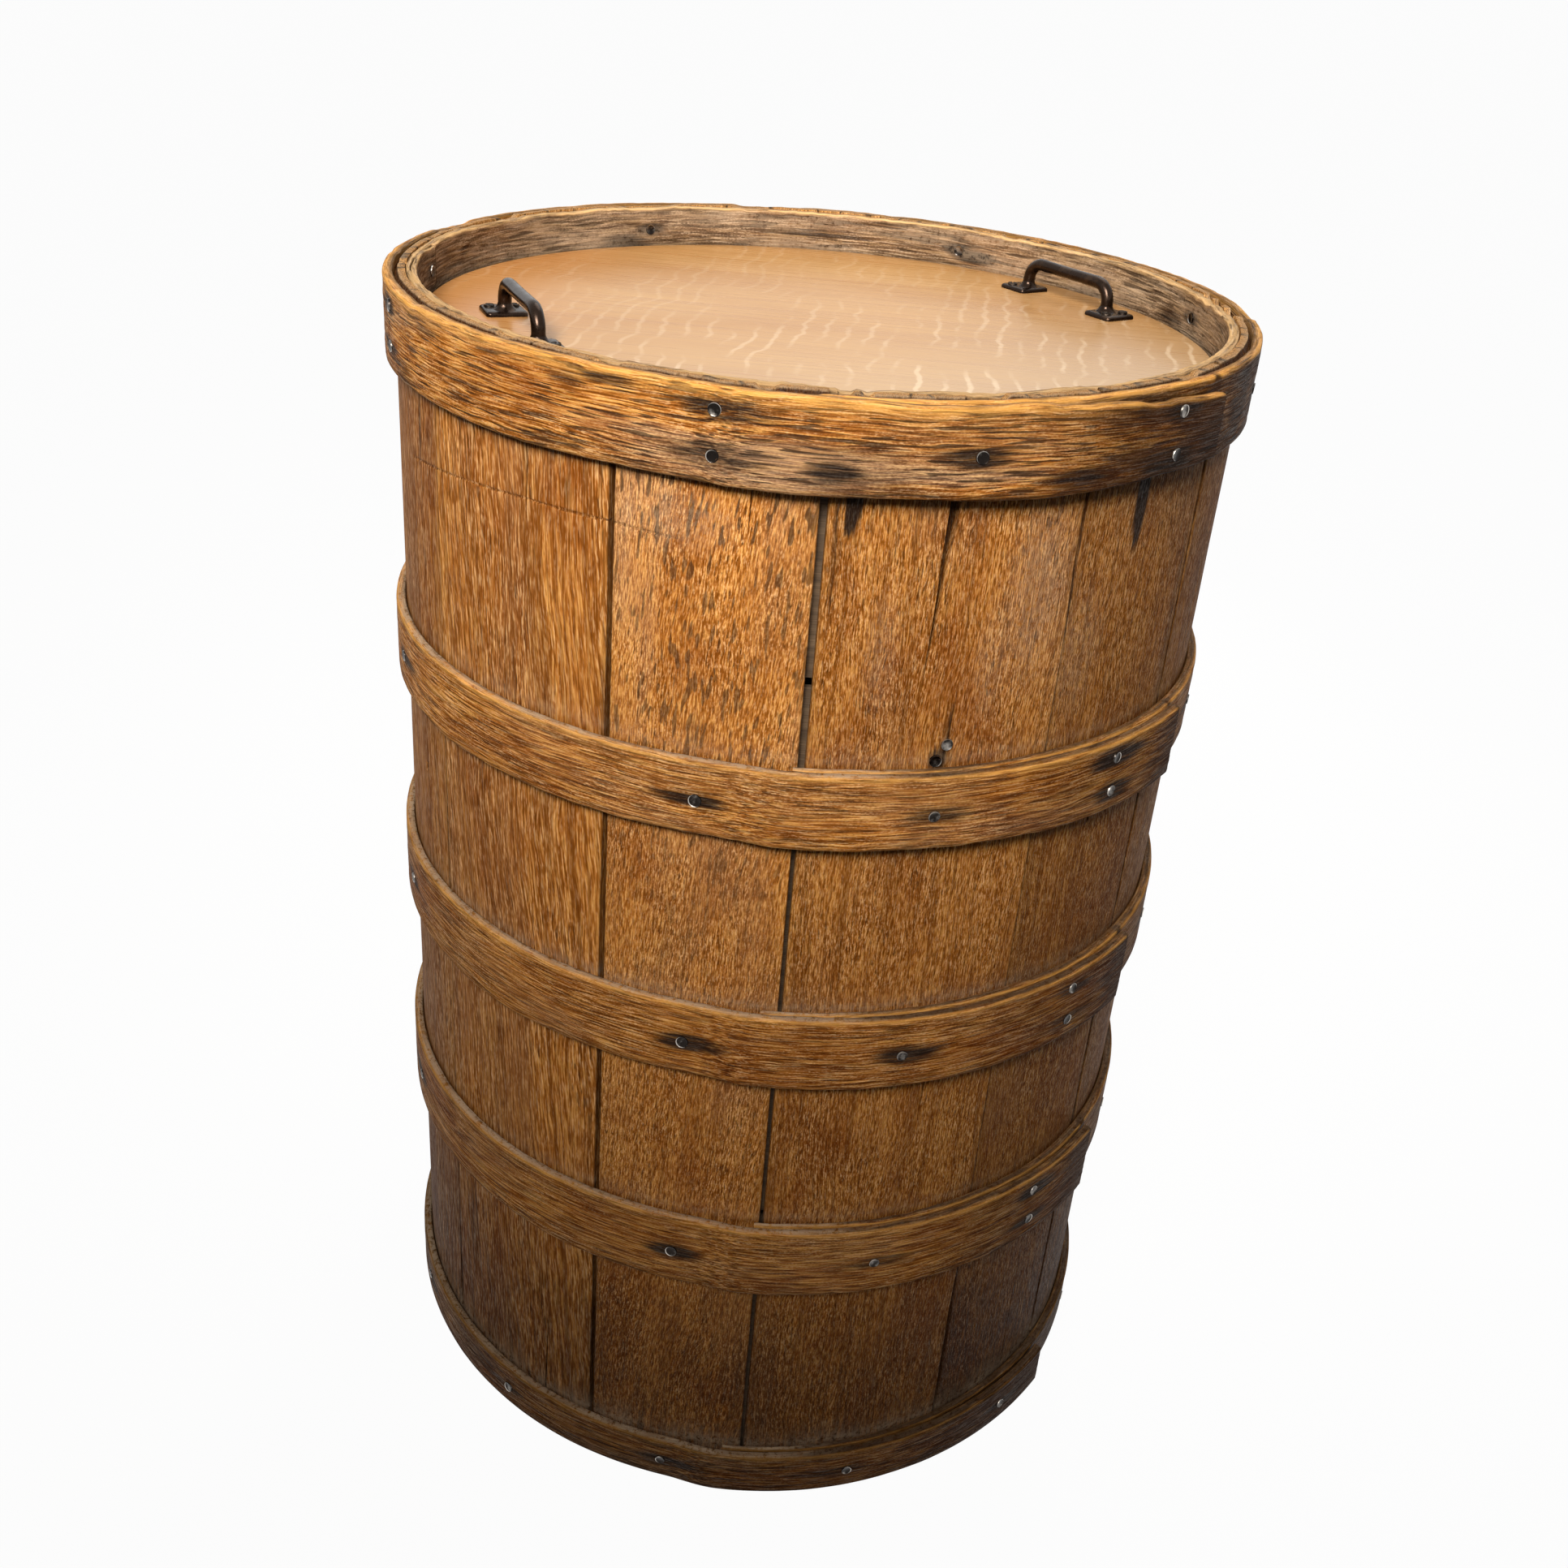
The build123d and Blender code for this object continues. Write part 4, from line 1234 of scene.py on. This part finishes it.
def weathered_oak(name, colours, line_scale, fleck_scale, fleck_colour, greying, bare):
    """Old oiled oak: raised grain, open pores, flecks, iron stain, grimy marks with painted shade, dust and
    worn edges.
    """
    f = Oak(name)
    dark, deep, middle, pale, bright = colours
    run, across = line_scale
    tone, figure, dust = f.value("tone"), f.value("figure"), f.value("dust")
    fine = f.grained(run, across, 1.0, 0.6, 0.2)
    colour = faded_lines(f, fine, deep, middle, pale, greying, figure)
    rough = f.spread(f.grained(14.0, 34.0, 2.0), 0.36, 0.62, 0.45, 1.0)
    fibres = f.grained(run * 1.3, across * 1.4, 1.0)
    specks = f.noise(f.grain, (520.0, 1150.0, 1150.0), 1.0)
    strands = f.plus(f.times(fibres, 0.62), f.times(specks, 0.38))
    colour = f.mix(f.times(f.spread(strands, 0.5, 0.66, 0.0, 0.68), rough), colour, bright)
    colour = f.mix(f.times(f.spread(strands, 0.34, 0.5, 0.75, 0.0), rough), colour, dark)
    scratches = f.grained(run * 0.9, across * 0.85, 1.0, 0.6, 0.1)
    scratches = f.times(f.spread(scratches, 0.33, 0.39, 1.0, 0.0), rough)
    colour = f.mix(f.times(scratches, 0.7), colour, "351d0e")
    pores = f.times(f.threads(f.grained(2.5, 230.0, 1.0, 0.5), 0.07), f.minus(1.0, figure))
    colour = f.mix(f.times(pores, 0.55), colour, dark)
    patch = f.times(f.minus(f.grained(8.0, 22.0, 1.0), 0.5), 0.22)
    flecks = f.spread(f.plus(f.grained(*fleck_scale, 1.0, 0.6, 0.1), patch), 0.365, 0.425, 1.0, 0.0)
    flecks = f.times(flecks, figure)
    colour = f.mix(f.times(flecks, 0.78), colour, fleck_colour)
    lightness = f.spread(tone, -1.0, 1.0, 0.72, 1.28)
    colour = f.made("ShaderNodeHueSaturation", {"Value": lightness, "Color": colour})
    colour = worn_grimy_and_shaded(f, colour, bare)
    colour = iron_stained(f, colour)
    colour = end_grained(f, colour, fibres)
    fluff = f.noise(f.grain, (260.0, 260.0, 260.0), 4.0, 0.75)
    grit = f.times(dust, f.spread(fluff, 0.34, 0.54))
    colour = f.mix(f.times(grit, 0.85), colour, "b39d84")
    shine = f.plus(f.spread(fine, 0.25, 0.75, 0.68, 0.54), f.times(dust, 0.25))
    relief = f.plus(fine, f.times(f.minus(fibres, scratches), 0.3))
    relief = f.minus(relief, f.times(flecks, 0.6))
    glint = f.spread(strands, 0.45, 0.68, 0.02, 0.26)
    normal = f.bump(relief, 0.0007, 0.75)
    return f.wire(Base_Color=colour, Roughness=shine, Normal=normal, Specular_IOR_Level=glint)


def plain_wood(name, pale, deep, round_grain):
    """Unfinished inside wood, its grain round the drum or along X, darker low down."""
    f = Finish(name)
    place = f.place()
    axes = f.separated(place)
    if round_grain:
        angle = f.maths("ARCTAN2", axes[1], axes[0])
        place = f.combined(f.times(angle, 0.275), axes[2], 0.3)
    bands = f.noise(place, (4.0, 160.0, 160.0), 4.0, 0.6, 0.5)
    hair = f.noise(place, (45.0, 1300.0, 1300.0), 2.0, 0.6)
    cloud = f.noise(place, (9.0, 16.0, 16.0), 3.0, 0.6)
    colour = f.mix(f.spread(bands, 0.3, 0.7), deep, pale)
    colour = f.mix(f.times(f.spread(hair, 0.45, 0.75), 0.55), colour, "2b1d12")
    colour = f.mix(f.times(f.spread(cloud, 0.45, 0.7), 0.5), colour, "33261b")
    colour = f.mix(f.spread(axes[2], 0.58, 0.64, 0.2, 0.0), colour, "1d140c")
    relief = f.plus(f.times(bands, 0.6), f.times(hair, 0.5))
    shine = f.spread(hair, 0.2, 0.8, 0.72, 0.9)
    return f.wire(Base_Color=colour, Roughness=shine, Normal=f.bump(relief, 0.0006, 0.7))


def lid_rays(f, grain, forward, height):
    """Pale wavy rays across the lid's grain, broken here and there and strongest at the front."""
    across = f.separated(grain)
    sway = f.noise(grain, (12.0, 24.0, 5.0), 2.0, 0.5)
    wave = f.plus(across[0], f.times(across[1], -0.1))
    wave = f.plus(f.times(wave, 430.0), f.times(sway, 11.0))
    ray = f.spread(f.maths("SINE", wave), 0.6, 1.0)
    broken = f.noise(grain, (22.0, 9.0, 10.0), 3.0, 0.6)
    ray = f.times(ray, f.spread(broken, 0.42, 0.6))
    ray = f.times(ray, f.spread(forward, -0.15, 0.25, 0.25, 1.0))
    return f.times(ray, f.spread(height, (LID_TOP - 1.2) * MM, (LID_TOP - 0.3) * MM))


def lid_oak():
    """Varnished quarter-sawn oak: fine grain along X, pale rays across it and a soft gloss, with a painted
    orange reflection at the left and a painted sheen at the front.
    """
    f = Finish("lid_oak")
    place = f.place()
    axes = f.separated(place)
    forward = f.minus(f.times(axes[0], 0.5), axes[1])
    grain = f.made("ShaderNodeMapping", {"Vector": place, "Rotation": (0.0, 0.0, math.radians(1.5))})
    lines = f.noise(grain, (5.0, 260.0, 40.0), 4.0, 0.65, 0.2)
    cloud = f.noise(grain, (3.0, 7.0, 5.0), 3.0, 0.55)
    freckle = f.noise(grain, (60.0, 420.0, 60.0), 2.0, 0.6)
    ray = lid_rays(f, grain, forward, axes[2])
    colour = f.mix(f.spread(lines, 0.3, 0.72), "aa7f4d", "b68e5c")
    colour = f.mix(f.times(f.spread(cloud, 0.4, 0.7), 0.6), colour, "9a6937")
    colour = f.mix(f.spread(axes[0], 0.04, 0.24, 0.0, 0.5), colour, "876139")
    # Painted reflection: orange towards the lid's left
    colour = f.mix(f.spread(axes[0], -0.24, -0.13, 0.5, 0.0), colour, "a8682f")
    # Painted sheen: paler towards the lid's front
    colour = f.mix(f.spread(forward, -0.02, 0.3, 0.0, 0.5), colour, "c2ac8d")
    colour = f.mix(f.times(ray, 0.32), colour, "f4e2c4")
    colour = f.mix(f.times(f.spread(freckle, 0.6, 0.75), 0.2), colour, "8a5a2c")
    shine = f.spread(lines, 0.2, 0.8, 0.24, 0.36)
    normal = f.bump(f.minus(f.times(ray, 0.3), freckle), 0.00012, 0.5)
    return f.wire(
        Base_Color=colour, Roughness=shine, Normal=normal, Specular_IOR_Level=0.2, Coat_Weight=0.08,
        Coat_Roughness=0.15)


def cast_metal(name, dark, bright, smooth, rough, metal):
    """Metal with a dark skin worn brighter in places, a painted highlight where its piece carries a crescent,
    and a little unevenness from the casting.
    """
    f = Finish(name)
    place = f.place()
    rub = f.noise(place, (90.0, 90.0, 90.0), 4.0, 0.6)
    grit = f.noise(place, (700.0, 700.0, 700.0), 3.0, 0.6)
    bared = f.times(f.spread(rub, 0.5, 0.72), 0.5)
    # Painted highlight crescent on nail and screw heads
    crescent_highlight = f.spread(f.value("crescent_highlight"), 0.62, 1.0)
    colour = f.mix(f.maths("MAXIMUM", bared, crescent_highlight), dark, bright)
    colour = f.mix(f.times(f.spread(grit, 0.55, 0.7), 0.4), colour, "140d08")
    shine = f.spread(rub, 0.3, 0.7, smooth, rough)
    normal = f.bump(f.plus(rub, f.times(grit, 0.3)), 0.0003, 0.5)
    return f.wire(Base_Color=colour, Roughness=shine, Normal=normal, Metallic=metal)


def floor_white():
    """A pale floor that looks white and keeps a soft shadow."""
    f = Finish("floor_white")
    seen = f.seen()
    f.wire(Base_Color=f.mix(seen, grey(0.16), grey(0.92)), Roughness=0.9)
    glow = f.made("ShaderNodeEmission", {"Color": grey(1.0), "Strength": 1.0})
    surface = f.made("ShaderNodeMixShader", {0: f.times(seen, 0.965), 1: f.shader.outputs[0], 2: glow})
    f.tree.links.new(surface, f.tree.nodes["Material Output"].inputs["Surface"])
    return f.material


# Assembly

def finish(piece, material, body):
    """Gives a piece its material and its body."""
    piece.data.materials.clear()
    piece.data.materials.append(material)
    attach(piece, body)


def dress_node(node, material):
    """Gives a CAD node that stays a better material."""
    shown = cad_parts[node]
    for index in range(len(shown.material_slots)):
        shown.material_slots[index].material = material
    if not shown.material_slots:
        shown.data.materials.append(material)


stave_wood = weathered_oak(
    "stave_oak", ("5f320a", "854d18", "ab6b2d", "c98f4b", "e6b67c"),
    (130.0, 980.0), (58.0, 300.0), "3d2b1c", 0.3, "d99a4e")
hoop_wood = weathered_oak(
    "hoop_oak", ("50290a", "7c4616", "b26e2d", "d89c52", "ecbe84"),
    (44.0, 880.0), (32.0, 480.0), "281d15", 0.5, "dba253")
rim_wood = weathered_oak(
    "rim_hoop_oak", ("38291a", "56432f", "765e46", "927858", "bca182"),
    (36.0, 500.0), (30.0, 320.0), "2c2118", 0.5, "cfa874")
lining_wood = plain_wood("lining_wood", "705b43", "4a3929", True)
bottom_wood = plain_wood("bottom_wood", "80603e", "5e4328", False)
# The nails' bright colour serves both the worn places and the painted highlight crescents
nail_iron = cast_metal("nail_iron", "26211e", "cfc7bd", 0.22, 0.38, 1.0)
pull_bronze = cast_metal("pull_bronze", "2a1e16", "4a3728", 0.16, 0.34, 0.85)
screw_steel = cast_metal("screw_steel", "2c2520", "5a4f45", 0.28, 0.5, 0.9)

for number in range(1, STAVE_COUNT + 1):
    finish(stave(number), stave_wood, "drum")
for hoop_name in HOOPS:
    finish(hoop(hoop_name), hoop_wood, "drum")
finish(rim_hoop(), rim_wood, "drum")
finish(lid(), lid_oak(), "lid")
for pull_side in PULL_PLACES:
    finish(pull(pull_side), pull_bronze, "lid")

nail_tree = fastener_tree("headed_nails", False)
for nail_node in [f"{hoop_name}_nails" for hoop_name in HOOPS] + ["rim_inner_hoop_nails"]:
    finish(nails(nail_node, nail_tree, nail_iron), nail_iron, "drum")
screw_tree = fastener_tree("slotted_screws", True)
for pull_side in PULL_PLACES:
    finish(screws(pull_side, screw_tree, screw_steel), screw_steel, "lid")

for lining_node in ("upper_lining", "middle_lining", "lower_lining"):
    dress_node(lining_node, lining_wood)
for plain_node in [f"lid_cleat_{i}" for i in range(1, 5)] + [f"bottom_board_{i}" for i in range(1, 5)]:
    dress_node(plain_node, bottom_wood)


# Floor, light and camera, in metres

# Reach of the floor: to each side, to the front and to the back
FLOOR_SIDE = 40.0
FLOOR_FRONT = -20.0
FLOOR_BACK = 60.0

# Each lamp: place, the point it looks at, size, power, spread, colour
LAMPS = {
    "key_lamp": ((-0.32, -1.6, 2.2), (-0.05, -0.05, 1.34), 1.2, 19.6, 58.0, (1.0, 0.95, 0.88)),
    "top_lamp": ((0.3, 0.9, 2.4), (0.0, 0.0, 0.8), 1.4, 5.5, 120.0, (1.0, 0.97, 0.93)),
    "back_lamp": ((0.5, 2.3, 0.45), (0.0, 0.0, 0.45), 0.6, 9.0, 90.0, (1.0, 0.96, 0.9)),
    "side_lamp": ((2.4, -1.2, 1.5), (0.0, 0.0, 0.5), 1.2, 0.7, 180.0, (1.0, 0.95, 0.9)),
}
ROOM_LIGHT = 0.06

# The camera's angles are radians
CAMERA_PLACE = (0.0, -1.13101, 1.07525)
CAMERA_YAW = 0.0006
CAMERA_PITCH = 0.4989
CAMERA_ROLL = -0.0824
CAMERA_LENS = 37.264
CAMERA_SENSOR = 36.0


def floor():
    """A wide flat floor."""
    corners = [(-FLOOR_SIDE, FLOOR_FRONT), (FLOOR_SIDE, FLOOR_FRONT)]
    corners += [(FLOOR_SIDE, FLOOR_BACK), (-FLOOR_SIDE, FLOOR_BACK)]
    piece = put("floor", [(x / MM, y / MM, 0.0) for x, y in corners], [(0, 1, 2, 3)])
    piece.data.materials.append(floor_white())
    return piece


def soft_lamp(name, place, target, size, power, spread, colour):
    """A large soft lamp that looks at a point."""
    lamp = bpy.data.lights.new(name, "AREA")
    lamp.shape = "DISK"
    lamp.size = size
    lamp.energy = power
    lamp.color = colour
    lamp.spread = math.radians(spread)
    holder = linked(name, lamp)
    holder.location = place
    holder.rotation_euler = (Vector(target) - Vector(place)).to_track_quat("-Z", "Y").to_euler()


def white_room():
    """A world that looks white and lights little."""
    world = bpy.data.worlds.new("white_room")
    world.use_nodes = True
    room = NodeTree(world.node_tree)
    strength = room.made("ShaderNodeMapRange", {"Value": room.seen(), "To Min": ROOM_LIGHT, "To Max": 1.0})
    background = room.tree.nodes["Background"]
    background.inputs["Color"].default_value = grey(1.0)
    room.tree.links.new(strength, background.inputs["Strength"])
    return world


def photo_camera():
    """A camera that sees the drum from the photograph's place."""
    lens = bpy.data.cameras.new("photo_camera")
    lens.sensor_width = CAMERA_SENSOR
    lens.lens = CAMERA_LENS
    lens.clip_end = 200.0
    camera = linked("photo_camera", lens)
    level = Vector((math.cos(CAMERA_YAW), -math.sin(CAMERA_YAW), 0.0))
    flat = math.cos(CAMERA_PITCH)
    ahead = Vector((math.sin(CAMERA_YAW) * flat, math.cos(CAMERA_YAW) * flat, -math.sin(CAMERA_PITCH)))
    down = ahead.cross(level)
    right = math.cos(CAMERA_ROLL) * level + math.sin(CAMERA_ROLL) * down
    lower = -math.sin(CAMERA_ROLL) * level + math.cos(CAMERA_ROLL) * down
    turn = Matrix((right, -lower, -ahead)).transposed().to_4x4()
    camera.matrix_world = Matrix.Translation(CAMERA_PLACE) @ turn
    return camera


floor()
for lamp_name, lamp_settings in LAMPS.items():
    soft_lamp(lamp_name, *lamp_settings)
bpy.context.scene.world = white_room()
bpy.context.scene.camera = photo_camera()
bpy.context.scene.view_settings.view_transform = "Standard"
